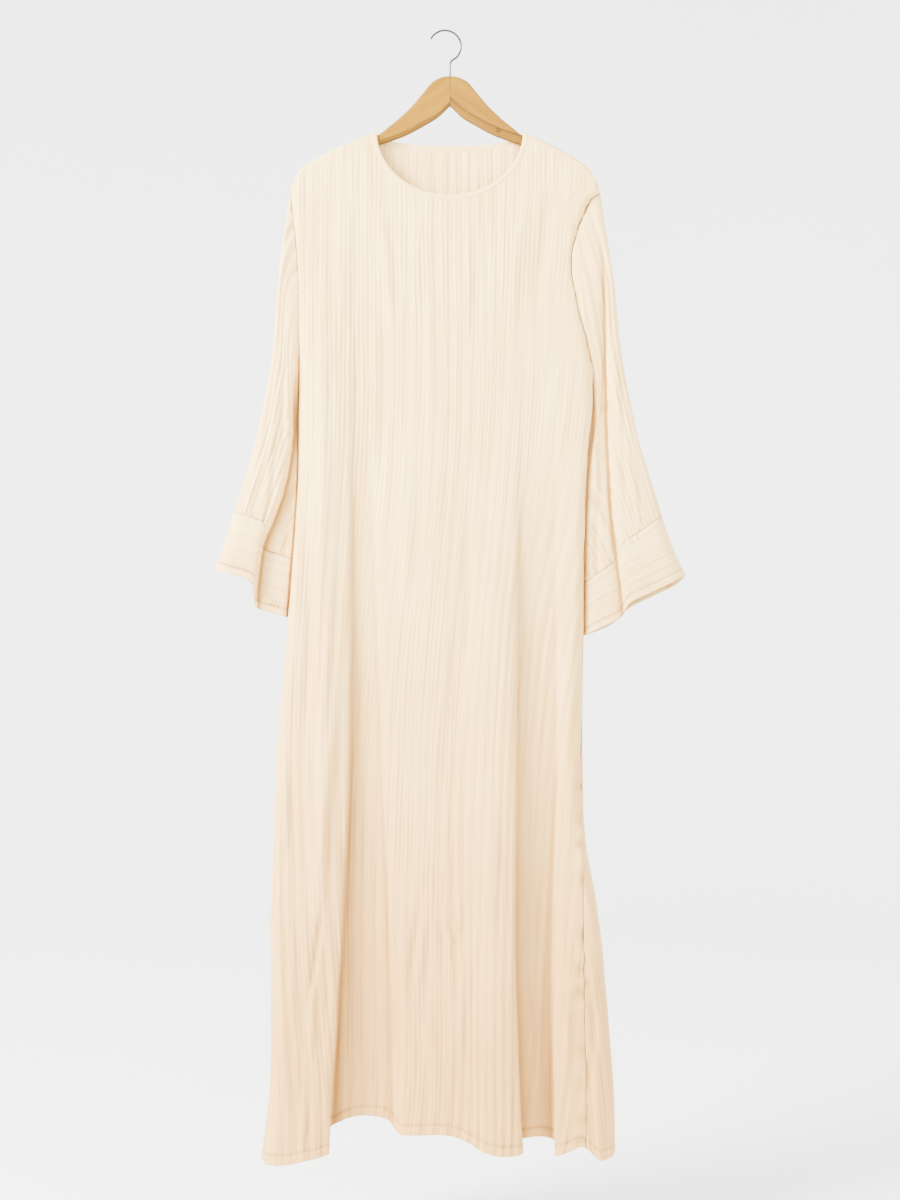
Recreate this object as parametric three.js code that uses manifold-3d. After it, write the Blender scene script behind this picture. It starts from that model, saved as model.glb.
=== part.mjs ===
// A long, loose abaya hanging on a wooden hanger, in millimetres.
// +Z is up and the front faces -Y. The origin is the inside of the hook's top, where a rail or nail holds it.
// Every cloth piece is a thin wall about a smooth middle surface. Its crinkle pleats stand out of the
// outer skin, and its inner skin is plain.
import * as THREE from "three";
import { mergeVertices } from "three/addons/utils/BufferGeometryUtils.js";
import Module from "manifold-3d";

const wasm = await Module();
wasm.setup();

// Cloth
const WALL = 1.5; // between the pleats
const PLEAT = 0.9; // how far a crinkle pleat stands out of the wall
const SEAM_GAP = 0.3; // between two pieces that are sewn together
const HEM_WALL = 2.4; // the hem and the cuffs are folded double
const HEM_TURN = 14;
const CUFF_WALL = 2.2;
const BINDING_WALL = 2.2;
const NECK_SIDE_GAP = 2.2; // more room for the binding where the neckline is steep
const SLEEVE_TRIM = SEAM_GAP / 350; // the share of a sleeve that is left out at each of its seams
const CUFF_TRIM = SEAM_GAP / 80;
const UNDERARM_CLEAR = 3.6; // lets two walls part from one point
const SEAM_TURN = 60; // at each end of an armhole, where its walls turn round

// Garment
const NECK_Z = -146.2; // height of the neck points on the hanger
const NECK_HALF = 105; // half the neck's width
const FRONT_NECK_DROP = 91;
const BACK_NECK_DROP = 17;
const BINDING = 7; // width of the binding round the neck
const ARMHOLE_TOP = 85; // below the neck points
const ARMHOLE_END = 335;
const SLEEVE_HEAD = 0.25; // the share of a sleeve in which it leaves the armhole's curve for a plain tube
const HEM_LEVEL = 1456; // where the folds are at their full depth
const GRAIN_FROM = 60; // right of here the front's pleats lean with its armhole
const BACK_FAN = 0.55; // the share of the back panel that fans out where its edge comes round to the front
const ARM_ROUND = 7; // the cloth's bend over the hanger's arm
const NECK_CORNER = 114.6; // where the panels' shoulder seams begin, past the binding

// Hanger
const WIRE = 3;
const HOOK_RADIUS = 23; // to the middle of the wire
const HOOK_TIP = 150; // degrees round from the right
const HOOK_END = -42;
const SHANK_X = 7.2; // the shank stands to the right of the hook's centre
const SHANK_IN_WOOD = 24;
const HANGER_THICK = 13;
const HANGER_EDGE = 4.5; // the wood's rounded long edges
const HANGER_TALL = 15.5; // under the garment
const HANGER_END = 196;
const HANGER_CLEAR = 1.9; // from the cloth's middle surface down to the wood
const BAR_HOLE = { x: 69, z: -143.3, radius: 2.5, deep: 3 };

const NORMAL_ASIDE = 2e-3; // a neck corner faces as the shoulder beside it does

// How finely the solids are divided
const PANEL_PLEATS = 34;
const SLEEVE_PLEATS = 18;
const CUFF_PLEATS = 5;
const RIDGE_ROWS = [0, 0.4, 1.6, 4.5, 9]; // millimetres down from the top of the hanger's arm
const HANG_ROWS = 7; // from the armhole to the hem's turn
const SLEEVE_ROWS = 9;

const CLOTH = { color: 0xf3e4cf, roughness: 0.85, metalness: 0 };
const WOOD = { color: 0xd29a45, roughness: 0.5, metalness: 0 };
const STEEL = { color: 0xb9b9bc, roughness: 0.25, metalness: 1 };

// The shoulders hang a little lower on the right. `slope` is at the neck point, `bow` is how it steepens
// outwards, and `bend` is where the cloth leaves the hanger's arm, from the middle.
const SHOULDERS = {
  left: { slope: 0.28, bow: 0.0017, bend: 203 },
  right: { slope: 0.35, bow: 0.002, bend: 186 },
};

// The body's outline under the armholes, by the distance below the neck points. `seam` is the share of the
// front half that the front panel covers: low on the right the back panel comes round to the front.
const OUTLINE = [
  { down: 335, left: -216, right: 204, seam: 1 },
  { down: 400, left: -216, right: 204, seam: 1 },
  { down: 444, left: -216, right: 199, seam: 1 },
  { down: 508, left: -217, right: 195, seam: 1 },
  { down: 620, left: -226, right: 192, seam: 1 },
  { down: 725, left: -234, right: 191, seam: 0.997 },
  { down: 870, left: -246, right: 190, seam: 0.985 },
  { down: 1020, left: -253, right: 195, seam: 0.97 },
  { down: 1120, left: -257, right: 212, seam: 0.936 },
  { down: 1230, left: -256, right: 223, seam: 0.916 },
  { down: 1370, left: -258, right: 234, seam: 0.899 },
  { down: 1470, left: -269, right: 237, seam: 0.896 },
];

// The armholes, as straight stretches between these rows: the right one shows its curve in front. `half` is
// how far its edges lie before and behind the middle plane: each armhole's mouth is a narrow lens.
const ARMHOLE = [
  { down: 85, left: -229, right: 215, rightFront: 215, half: 0 },
  { down: 97, left: -228, right: 214, rightFront: 201, half: 4 },
  { down: 138, left: -223, right: 211, rightFront: 183, half: 8 },
  { down: 175, left: -219, right: 209, rightFront: 174, half: 10 },
  { down: 205, left: -217, right: 207, rightFront: 174, half: 11 },
  { down: 253, left: -216, right: 205, rightFront: 183, half: 11 },
  { down: 300, left: -216, right: 204, rightFront: 196, half: 8 },
  { down: 335, left: -216, right: 204, rightFront: 204, half: 0 },
];

// How far the front and the back hang from the middle plane, and the radius of their side edges.
const DEPTH = [
  { down: 0, front: 8.6, back: 8.6, turn: 12 },
  { down: 100, front: 11, back: 10, turn: 13 },
  { down: 335, front: 17, back: 14, turn: 14 },
  { down: 725, front: 27, back: 22, turn: 15 },
  { down: 1100, front: 40, back: 34, turn: 18 },
  { down: 1470, front: 55, back: 45, turn: 24 },
];

// Long folds. `chest` to `hem` are where the fold's visible edge runs (see FOLD_LEVELS), and `starts`
// is where it begins. `flap` is the side that hangs in front; `step` and `lap` are its depth and overlap
// at the hem, and `width` its softness.
const FRONT_FOLDS = [
  { chest: -141, hip: -143, knee: -156, hem: -172, starts: 90, flap: "left", step: 45, lap: 18, width: 11 },
  { chest: -116, hip: -98, knee: -86, hem: -80, starts: 90, flap: "right", step: 22, lap: 0, width: 12 },
  { chest: 98, hip: 96, knee: 95, hem: 105, starts: 240, flap: "left", step: 32, lap: 13, width: 10 },
  { chest: 150, hip: 152, knee: 145, hem: 147, starts: 240, flap: "right", step: 30, lap: 8, width: 10 },
];
const BACK_FOLDS = [
  { chest: -150, hip: -160, knee: -175, hem: -190, starts: 200, flap: "left", step: 18, lap: 0, width: 12 },
  { chest: -95, hip: -85, knee: -70, hem: -60, starts: 200, flap: "right", step: 20, lap: 6, width: 12 },
  { chest: 60, hip: 62, knee: 70, hem: 82, starts: 300, flap: "left", step: 20, lap: 8, width: 12 },
  { chest: 130, hip: 140, knee: 150, hem: 160, starts: 300, flap: "right", step: 18, lap: 0, width: 12 },
];
// Soft swells (rise outwards) and hollows between two levels.
const FRONT_SWELLS = [
  { chest: -181, hip: -182, knee: -190, hem: -205, starts: 120, ends: 1250, rise: 6, width: 14 },
  { chest: -202, hip: -203, knee: -212, hem: -225, starts: 430, ends: 900, rise: -5, width: 9 },
  { chest: 70, hip: 70, knee: 70, hem: 70, starts: 500, ends: 1900, rise: 16, width: 40 },
  { chest: -30, hip: -28, knee: -26, hem: -20, starts: 150, ends: 1500, rise: 4, width: 38 },
];
const BACK_SWELLS = [
  { chest: 0, hip: 0, knee: 0, hem: 5, starts: 200, ends: 1700, rise: 8, width: 50 },
  { chest: -185, hip: -200, knee: -215, hem: -225, starts: 300, ends: 1500, rise: 5, width: 16 },
];
const FOLD_LEVELS = { chest: 430, hip: 900, knee: 1200, hem: 1470 };

// The hem's level by the place across the cloth before it is folded.
const FRONT_HEM = [
  { x: -269, down: 1472 },
  { x: -230, down: 1470 },
  { x: -200, down: 1462 },
  { x: -178, down: 1446 },
  { x: -150, down: 1416 },
  { x: -102, down: 1414 },
  { x: -88, down: 1420 },
  { x: -74, down: 1434 },
  { x: -10, down: 1434 },
  { x: 18, down: 1441 },
  { x: 50, down: 1456 },
  { x: 84, down: 1460 },
  { x: 112, down: 1447 },
  { x: 138, down: 1446 },
  { x: 157, down: 1465 },
  { x: 189, down: 1452 },
  { x: 215, down: 1471 },
  { x: 237, down: 1465 },
];
const BACK_HEM = [
  { x: -269, down: 1472 },
  { x: -215, down: 1450 },
  { x: -165, down: 1416 },
  { x: -80, down: 1414 },
  { x: -20, down: 1432 },
  { x: 70, down: 1440 },
  { x: 140, down: 1436 },
  { x: 200, down: 1456 },
  { x: 237, down: 1465 },
];

// Each sleeve from the armhole (0) to the cuff seam (1) and the cuff's edge (2): its outer and inner
// lines, measured outwards from the middle, and how deep the tube is on each side of the middle plane.
// The outer flap of its front hangs before the inner flute along `fold`.
const RIGHT_SLEEVE = {
  name: "right",
  side: 1,
  lines: [
    { at: 0, outer: 215, outerDown: 85, inner: 204, innerDown: 335, depth: 16 },
    { at: 0.25, outer: 233.5, outerDown: 203, inner: 209.5, innerDown: 412, depth: 17 },
    { at: 0.5, outer: 247, outerDown: 320, inner: 201.5, innerDown: 489, depth: 17 },
    { at: 0.75, outer: 270, outerDown: 437, inner: 198, innerDown: 567, depth: 18 },
    { at: 1, outer: 304, outerDown: 551, inner: 196.5, innerDown: 645, depth: 20 },
    { at: 2, outer: 337, outerDown: 638, inner: 195.5, innerDown: 722, depth: 24 },
  ],
  fold: [
    { down: 85, edge: 204 },
    { down: 155, edge: 217 },
    { down: 260, edge: 223 },
    { down: 430, edge: 227 },
    { down: 556, edge: 234 },
    { down: 650, edge: 245 },
    { down: 700, edge: 250 },
  ],
  foldStep: 13,
  foldLap: 3,
  foldWidth: 11,
  foldDrop: 17,
  foldStarts: 120,
  foldFull: 420,
  backDrop: 9,
};
const LEFT_SLEEVE = {
  name: "left",
  side: -1,
  lines: [
    { at: 0, outer: 229, outerDown: 85, inner: 216, innerDown: 335, depth: 15 },
    { at: 0.25, outer: 245, outerDown: 200, inner: 220.6, innerDown: 412, depth: 16 },
    { at: 0.5, outer: 255, outerDown: 315, inner: 221.2, innerDown: 480, depth: 17 },
    { at: 0.75, outer: 276, outerDown: 430, inner: 224.5, innerDown: 545, depth: 19 },
    { at: 1, outer: 310, outerDown: 544, inner: 230.2, innerDown: 612, depth: 22 },
    { at: 2, outer: 337, outerDown: 628, inner: 237, innerDown: 697, depth: 26 },
  ],
  fold: [
    { down: 225, edge: 224 },
    { down: 430, edge: 226 },
    { down: 490, edge: 233 },
    { down: 541, edge: 247 },
    { down: 585, edge: 265 },
    { down: 608, edge: 271 },
    { down: 660, edge: 277 },
  ],
  foldStep: 20,
  foldLap: 8,
  foldWidth: 9,
  foldDrop: 38,
  foldStarts: 300,
  foldFull: 560,
  backDrop: 0,
};

// The wood's upper and lower edges on one arm, out from the middle as far as the neck of the garment.
const WOOD_TOP = [
  { out: 0, z: -64.5 },
  { out: 12, z: -66 },
  { out: 26, z: -73.5 },
  { out: 40, z: -90 },
  { out: 54, z: -106.5 },
  { out: 73, z: -124.8 },
  { out: 92, z: -140.5 },
  { out: 102, z: -148.6 },
  { out: 108, z: -149.5 },
];
const WOOD_UNDER = [
  { out: 0, z: -108 },
  { out: 17, z: -124 },
  { out: 33, z: -134 },
  { out: 64, z: -150.5 },
  { out: 101, z: -163.5 },
  { out: 108, z: -165.5 },
];

const clamp01 = (x) => Math.min(1, Math.max(0, x));
const lerp = THREE.MathUtils.lerp;
const smooth = (x) => clamp01(x) ** 2 * (3 - 2 * clamp01(x));
// A quarter circle from 0 to 1: steep at first, then level.
const roundOff = (x) => Math.sqrt(1 - (1 - clamp01(x)) ** 2);

// Reads one column of a table at a place between its rows, on a smooth curve through them.
function read(table, key, column, at) {
  const last = table.length - 1;
  if (at <= table[0][key]) return table[0][column];
  if (at >= table[last][key]) return table[last][column];
  const k = table.findIndex((row) => row[key] > at) - 1;
  const span = table[k + 1][key] - table[k][key];
  const t = (at - table[k][key]) / span;
  const slope = (i) => {
    const a = Math.max(0, i - 1);
    const b = Math.min(last, i + 1);
    return (table[b][column] - table[a][column]) / (table[b][key] - table[a][key]);
  };
  const start = table[k][column];
  const rise = table[k + 1][column] - start;
  const bend = t * (1 - t) * span;
  return start + rise * smooth(t) + bend * ((1 - t) * slope(k) - t * slope(k + 1));
}

// Gives a fold its line as a table, so that it can be read at any level.
function foldLine(fold, down) {
  fold.line ??= Object.entries(FOLD_LEVELS).map(([level, at]) => ({ down: at, x: fold[level] }));
  return read(fold.line, "down", "x", down);
}

// What the folds and swells add at a place: outwards and sideways.
function foldShift(folds, swells, x, down) {
  let out = 0;
  let across = 0;
  for (const fold of folds) {
    const strength = clamp01((down - fold.starts) / (HEM_LEVEL - fold.starts)) ** 1.3;
    const sign = fold.flap === "left" ? -1 : 1;
    const middle = foldLine(fold, down) + sign * 0.5 * fold.lap * strength;
    const s = (x - middle) / fold.width;
    const past = 0.5 * (1 + Math.tanh(s));
    out += sign * fold.step * strength * past;
    across -= 1.65 * fold.lap * strength * s * Math.exp((-s * s) / 2);
  }
  for (const swell of swells) {
    const s = (x - foldLine(swell, down)) / swell.width;
    const inside = smooth((down - swell.starts) / 250) * smooth((swell.ends - down) / 250);
    out += swell.rise * inside * Math.exp(-s * s);
  }
  return { out, across };
}

// The shoulder line: level over the neck, then down the hanger's arm, then over its end.
function shoulder(x) {
  const { slope, bow, bend } = SHOULDERS[x < 0 ? "left" : "right"];
  const onArm = (from) => slope * from + bow * from ** 2;
  const end = x < 0 ? -ARMHOLE[0].left : ARMHOLE[0].right;
  const reach = clamp01((Math.abs(x) - bend) / (end - bend));
  const over = (ARMHOLE_TOP - onArm(end - NECK_HALF)) * (1 - Math.sqrt(1 - reach ** 2));
  return onArm(Math.max(0, Math.abs(x) - NECK_HALF)) + over;
}

// A cut edge round the neck, `offset` outside the neckline itself.
function neckEdge(x, front, offset) {
  const drop = front ? FRONT_NECK_DROP : BACK_NECK_DROP;
  const share = Math.sqrt(1 - Math.min(1, Math.abs(x) / (NECK_HALF + offset)) ** 2);
  return lerp(shoulder(x), drop + offset, share);
}

// Reads a column of the armholes' table on the straight stretch between two rows.
function armhole(column, down) {
  const k = Math.max(1, ARMHOLE.findIndex((row) => row.down >= down));
  const share = (down - ARMHOLE[k - 1].down) / (ARMHOLE[k].down - ARMHOLE[k - 1].down);
  return lerp(ARMHOLE[k - 1][column], ARMHOLE[k][column], clamp01(share));
}
// How far in front of (or behind) the middle plane the side edges lie, and where they are.
const edgeOut = (down) => (down < ARMHOLE_END ? armhole("half", down) : 0);
function edgeX(side, front, down) {
  const column = side < 0 ? "left" : "right";
  if (down >= ARMHOLE_END) return read(OUTLINE, "down", column, down);
  return armhole(side > 0 && front ? "rightFront" : column, down);
}

// Which way a wall faces where a panel and a sleeve are sewn together, so that both ends lie alike. Near the
// underarm the panel faces outwards and the sleeve inwards.
function seamNormal(side, front, down, inwards) {
  const fromTop = smooth((down - ARMHOLE_TOP) / SEAM_TURN);
  const fromUnder = smooth((ARMHOLE_END - down) / SEAM_TURN);
  const angle = (Math.PI / 2) * fromTop * fromUnder;
  const across = Math.cos(angle) * (inwards && fromTop >= 1 ? -side : side);
  return new THREE.Vector3(across, (front ? -1 : 1) * Math.sin(angle), 0);
}

// A half of a flat loop, by arc length: a turn at each end and a straight run between. `cut` is how far
// out, as a share of the run's, the loop's open ends already stand; a closed loop's is 0.
// Gives the distance from the start, and how far it has come out (0 at the ends, 1 along the run).
function halfLoop(share, width, turn, cut = 0) {
  const first = Math.asin(Math.min(0.95, cut));
  const turnArc = (Math.PI / 2 - first) * turn;
  const turnWidth = turn * Math.cos(first);
  const whole = width - 2 * turnWidth + 2 * turnArc;
  const arc = share * whole;
  const near = Math.min(arc, whole - arc);
  if (near >= turnArc) return { from: turnWidth + arc - turnArc, out: 1 };
  const angle = first + near / turn;
  const from = turnWidth - turn * Math.cos(angle);
  const out = (Math.sin(angle) - Math.sin(first)) / (1 - Math.sin(first));
  return { from: arc < turnArc ? from : width - from, out };
}

// A point over the body's front or back at a given x: `flat` is 0 on its side edges and 1 within.
function bodyAt(x, down, front, flat) {
  const shift = foldShift(front ? FRONT_FOLDS : BACK_FOLDS, front ? FRONT_SWELLS : BACK_SWELLS, x, down);
  const away = read(DEPTH, "down", front ? "front" : "back", down) + shift.out;
  const out = lerp(edgeOut(down), away, flat) * roundOff((down - shoulder(x)) / ARM_ROUND);
  return new THREE.Vector3(x + shift.across * flat, front ? -out : out, NECK_Z - down);
}

// A place on the body's loop: `t` runs 0 to 1 over the front from left to right, and 1 to 2 back. `x` is
// where it is before the cloth is folded. Over the armhole's curve the cloth right of GRAIN_FROM closes up.
function bodyPlace(t, down) {
  const front = t <= 1;
  const left = edgeX(-1, front, down);
  const right = edgeX(1, false, down);
  const turn = read(DEPTH, "down", "turn", down);
  const cut = edgeOut(down) / read(DEPTH, "down", front ? "front" : "back", down);
  const half = halfLoop(front ? t : 2 - t, right - left, turn, cut);
  const x = left + half.from;
  const closed = (right - edgeX(1, front, down)) * smooth((x - GRAIN_FROM) / (right - GRAIN_FROM));
  return { x: x - closed, front, flat: half.out };
}

function bodyPoint(t, down) {
  const { x, front, flat } = bodyPlace(t, down);
  return bodyAt(x, down, front, flat);
}

function hemLevel(t) {
  const { x, front } = bodyPlace(t, HEM_LEVEL);
  return read(front ? FRONT_HEM : BACK_HEM, "x", "down", x);
}

// Shares of a line of points by its own length: gives the place (0 to 1) for each share of the length.
function evenly(line) {
  const steps = 240;
  const lengths = [0];
  let last = line(0);
  for (let k = 1; k <= steps; k++) {
    const next = line(k / steps);
    lengths.push(lengths[k - 1] + next.distanceTo(last));
    last = next;
  }
  return (share) => {
    const goal = share * lengths[steps];
    const k = Math.max(1, lengths.findIndex((length) => length >= goal));
    return (k - 1 + (goal - lengths[k - 1]) / (lengths[k] - lengths[k - 1])) / steps;
  };
}

// A wall about a grid of middle points. lines[k][m] runs along a pleat as m grows, and odd lines are its
// crest. The inner skin has only the even ones, unless `fullInside`. `turned` is for lines that run round the
// piece. `absent` names cells between two even lines that are left out, and every open side gets its rim.
function wallGeometry(lines, shape) {
  const { ring, alongRing, thick, raised, turned, fullInside, absent = () => false } = shape;
  const count = lines.length;
  const long = lines[0].length;
  const positions = [];
  const index = [];
  for (const skin of [1, -1])
    lines.forEach((line, k) =>
      line.forEach(({ point, normal }, m) => {
        const off = skin > 0 ? thick(k, m) / 2 + (k % 2 ? raised(k, m) : 0) : -thick(k, m) / 2;
        positions.push(...point.clone().addScaledVector(normal, off));
      }),
    );
  const at = (skin, k, m) => (skin * count + (k % count)) * long + (m % long);
  const face = (a, b, c) => (turned ? index.push(a, c, b) : index.push(a, b, c));
  const quad = (a, b, c, d) => {
    face(a, b, c);
    face(a, c, d);
  };
  const across = ring ? count : count - 1;
  const along = alongRing ? long : long - 1;
  const there = (k, m) => {
    if (!ring && (k < 0 || k >= across)) return false;
    if (!alongRing && (m < 0 || m >= along)) return false;
    return !absent(((k + count) % count) / 2, (m + long) % long);
  };
  for (let k = 0; k < across; k += 2)
    for (let m = 0; m < along; m++) {
      if (!there(k, m)) continue;
      for (const i of [k, k + 1]) quad(at(0, i, m), at(0, i, m + 1), at(0, i + 1, m + 1), at(0, i + 1, m));
      const stride = fullInside ? 1 : 2;
      for (let i = k; i < k + 2; i += stride)
        quad(at(1, i, m), at(1, i + stride, m), at(1, i + stride, m + 1), at(1, i, m + 1));
      if (!there(k - 2, m)) quad(at(0, k, m), at(1, k, m), at(1, k, m + 1), at(0, k, m + 1));
      if (!there(k + 2, m)) quad(at(0, k + 2, m), at(0, k + 2, m + 1), at(1, k + 2, m + 1), at(1, k + 2, m));
      const rim = (r, close) => {
        close(at(0, k, r), at(0, k + 1, r), at(1, k, r));
        close(at(0, k + 1, r), at(0, k + 2, r), at(1, k + 2, r));
        if (!fullInside) return close(at(0, k + 1, r), at(1, k + 2, r), at(1, k, r));
        close(at(0, k + 1, r), at(1, k + 1, r), at(1, k, r));
        close(at(0, k + 1, r), at(1, k + 2, r), at(1, k + 1, r));
      };
      if (!there(k, m - 1)) rim(m, face);
      if (!there(k, m + 1)) rim(m + 1, (a, b, c) => face(a, c, b));
    }
  const geometry = new THREE.BufferGeometry();
  geometry.setAttribute("position", new THREE.Float32BufferAttribute(positions, 3));
  geometry.setIndex(index);
  return geometry;
}

// One middle point of a surface, with its outward normal: u runs to the right and v down, from outside.
// An open surface ends at u 0 and 1, and at v 0 and `end`.
function sample(surface, u, v, { ring = false, end = 1 }) {
  const [uStep, vStep] = [1e-3, 1e-4];
  const inU = (place) => (ring ? place : clamp01(place));
  const inV = (place) => Math.min(end, Math.max(0, place));
  const du = surface(inU(u + uStep), v).sub(surface(inU(u - uStep), v));
  const dv = surface(u, inV(v + vStep)).sub(surface(u, inV(v - vStep)));
  return { point: surface(u, v), normal: dv.cross(du).normalize() };
}

function mesh(name, geometry, look) {
  const made = new THREE.Mesh(geometry, new THREE.MeshStandardMaterial(look));
  made.name = name;
  return made;
}

// Line places from 0 to 1, two to a pleat, with the uneven widths of crinkled cloth.
function pleatPlaces(pleats) {
  const widths = Array.from({ length: 2 * pleats }, (_, k) => 1 + 0.28 * Math.sin(2.4 * k) + 0.2 * Math.sin(5.1 * k));
  const total = widths.reduce((sum, w) => sum + w, 0);
  const places = [0];
  for (const w of widths) places.push(places.at(-1) + w / total);
  places[2 * pleats] = 1;
  return places;
}
const evenPlaces = (count) => Array.from({ length: count }, (_, k) => k / (count - 1));

// Moves the even line nearest to a neck corner onto it, and gives that line's number.
function snap(places, surface, side) {
  let [low, high] = [0.02, 0.98];
  const inside = (u) => surface(u, 0).x * side < NECK_CORNER + SEAM_GAP / 10;
  const lowInside = inside(0.5) && side * (surface(0.6, 0).x - surface(0.5, 0).x) < 0;
  [low, high] = lowInside ? [0.02, 0.5] : [0.5, 0.98];
  for (let i = 0; i < 40; i++) {
    const middle = (low + high) / 2;
    if (inside(middle) === lowInside) high = middle;
    else low = middle;
  }
  const goal = lowInside ? low : high;
  const even = places.map((u, k) => (k % 2 ? Infinity : Math.abs(u - goal)));
  const k = even.indexOf(Math.min(...even));
  places[k] = goal;
  for (const step of [-1, 1]) places[k + step] = (places[k] + places[k + 2 * step]) / 2;
  return k;
}

// A panel of the body: the front goes from the left seam to the right one, the back covers the rest.
// v is 0 at its top edge, 1 level with the armholes' ends and 2 at the hem.
function panel(name, front) {
  const trim = SEAM_GAP / 2 / 440;
  const onLoop = (share, down) => {
    const seam = read(OUTLINE, "down", "seam", down);
    if (front) return lerp(trim, seam - trim, share);
    return lerp(1 + trim, 2 - trim, share) - (1 - seam) * smooth(1 - share / BACK_FAN);
  };
  const ridge = RIDGE_ROWS.map((mm) => mm / ARMHOLE_END);
  const belowRidge = ridge.at(-1);
  const row = (down) => (share) => bodyPoint(onLoop(share, down), down);
  const high = evenly(row(ARMHOLE_END));
  const low = evenly(row(HEM_LEVEL));
  const upperShare = ARMHOLE_END / HEM_LEVEL;
  const topEdge = (share) => {
    let top = ARMHOLE_TOP;
    let x = 0;
    for (let i = 0; i < 40; i++) {
      x = bodyPoint(onLoop(share, top), top).x;
      const more = NECK_SIDE_GAP * Math.min(1, Math.abs(x) / NECK_HALF) ** 6;
      top = lerp(top, neckEdge(x, front, BINDING + SEAM_GAP + more), 0.5);
    }
    return { x, top };
  };
  const surface = (u, v) => {
    const share = lerp(high(u), low(u), v < 1 ? v * upperShare : lerp(upperShare, 1, v - 1));
    const underNeck = Math.abs(topEdge(high(u)).x) < NECK_CORNER;
    const upper = underNeck ? (v - belowRidge) / (1 - belowRidge) : v;
    const below = lerp(ARMHOLE_END, hemLevel(onLoop(share, HEM_LEVEL)), v - 1);
    const down = v < 1 ? lerp(topEdge(share).top, ARMHOLE_END, Math.max(0, upper)) : below;
    const point = bodyPoint(onLoop(share, down), down);
    const onTop = 1 - smooth((down - shoulder(point.x)) / ARM_ROUND);
    point.y += ((front ? -1 : 1) * onTop * SEAM_GAP) / 2;
    return point;
  };
  const beside = ARMHOLE.slice(1).map((row) => (row.down - ARMHOLE_TOP) / (ARMHOLE_END - ARMHOLE_TOP));
  const turn = 2 - HEM_TURN / (HEM_LEVEL - ARMHOLE_END);
  const hang = evenPlaces(HANG_ROWS + 1).slice(1).map((k) => lerp(1, turn, k));
  const levels = [...ridge, ...beside, ...hang, 2];
  const last = levels.length - 1;
  const places = pleatPlaces(PANEL_PLEATS);
  const [first, second] = (front ? [-1, 1] : [1, -1]).map((side) => snap(places, surface, side));
  const corner = [first, second];
  const lines = places.map((u, k) => {
    const aside = NORMAL_ASIDE * (k === first ? -1 : 1);
    const line = levels.map((v) => sample(surface, u, v, { end: 2 }));
    if (corner.includes(k)) line.forEach((spot, m) => (spot.normal = sample(surface, u + aside, levels[m], { end: 2 }).normal));
    return line;
  });
  for (const line of [lines[0], lines.at(-1)])
    line.forEach((spot, m) => {
      const side = (line === lines[0]) === front ? -1 : 1;
      if (levels[m] <= 1) spot.normal = seamNormal(side, front, NECK_Z - spot.point.z, false);
    });
  const thick = (k, m) => (m === last ? HEM_WALL : WALL);
  const raised = (k, m) => (m === last ? 0 : PLEAT);
  const absent = (pair, m) => m < ridge.length - 1 && 2 * pair >= first && 2 * pair < second;
  return mesh(name, wallGeometry(lines, { thick, raised, absent }), CLOTH);
}

// The binding: a band round the whole neck opening, over the hanger's arms.
function neckBinding() {
  const surface = (u, v) => {
    const angle = 2 * Math.PI * u;
    const front = Math.sin(angle) >= 0;
    const offset = BINDING * v;
    const x = -(NECK_HALF + offset) * Math.cos(angle);
    return bodyAt(x, neckEdge(x, front, offset), front, 1);
  };
  const half = (count, ease) =>
    Array.from({ length: count }, (_, k) => {
      const s = (2 * k) / count;
      return (s <= 1 ? s ** ease : 2 - (2 - s) ** ease) / 4;
    });
  const places = [...half(26, 2.2), ...half(22, 1.6).map((u) => u + 0.5)];
  const lines = places.map((u) => [0, 0.5, 1].map((v) => sample(surface, u, v, { ring: true })));
  const shape = { ring: true, thick: (k, m) => (m === 1 ? BINDING_WALL : WALL), raised: () => 0 };
  return mesh("neck_binding", wallGeometry(lines, shape), CLOTH);
}

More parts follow.
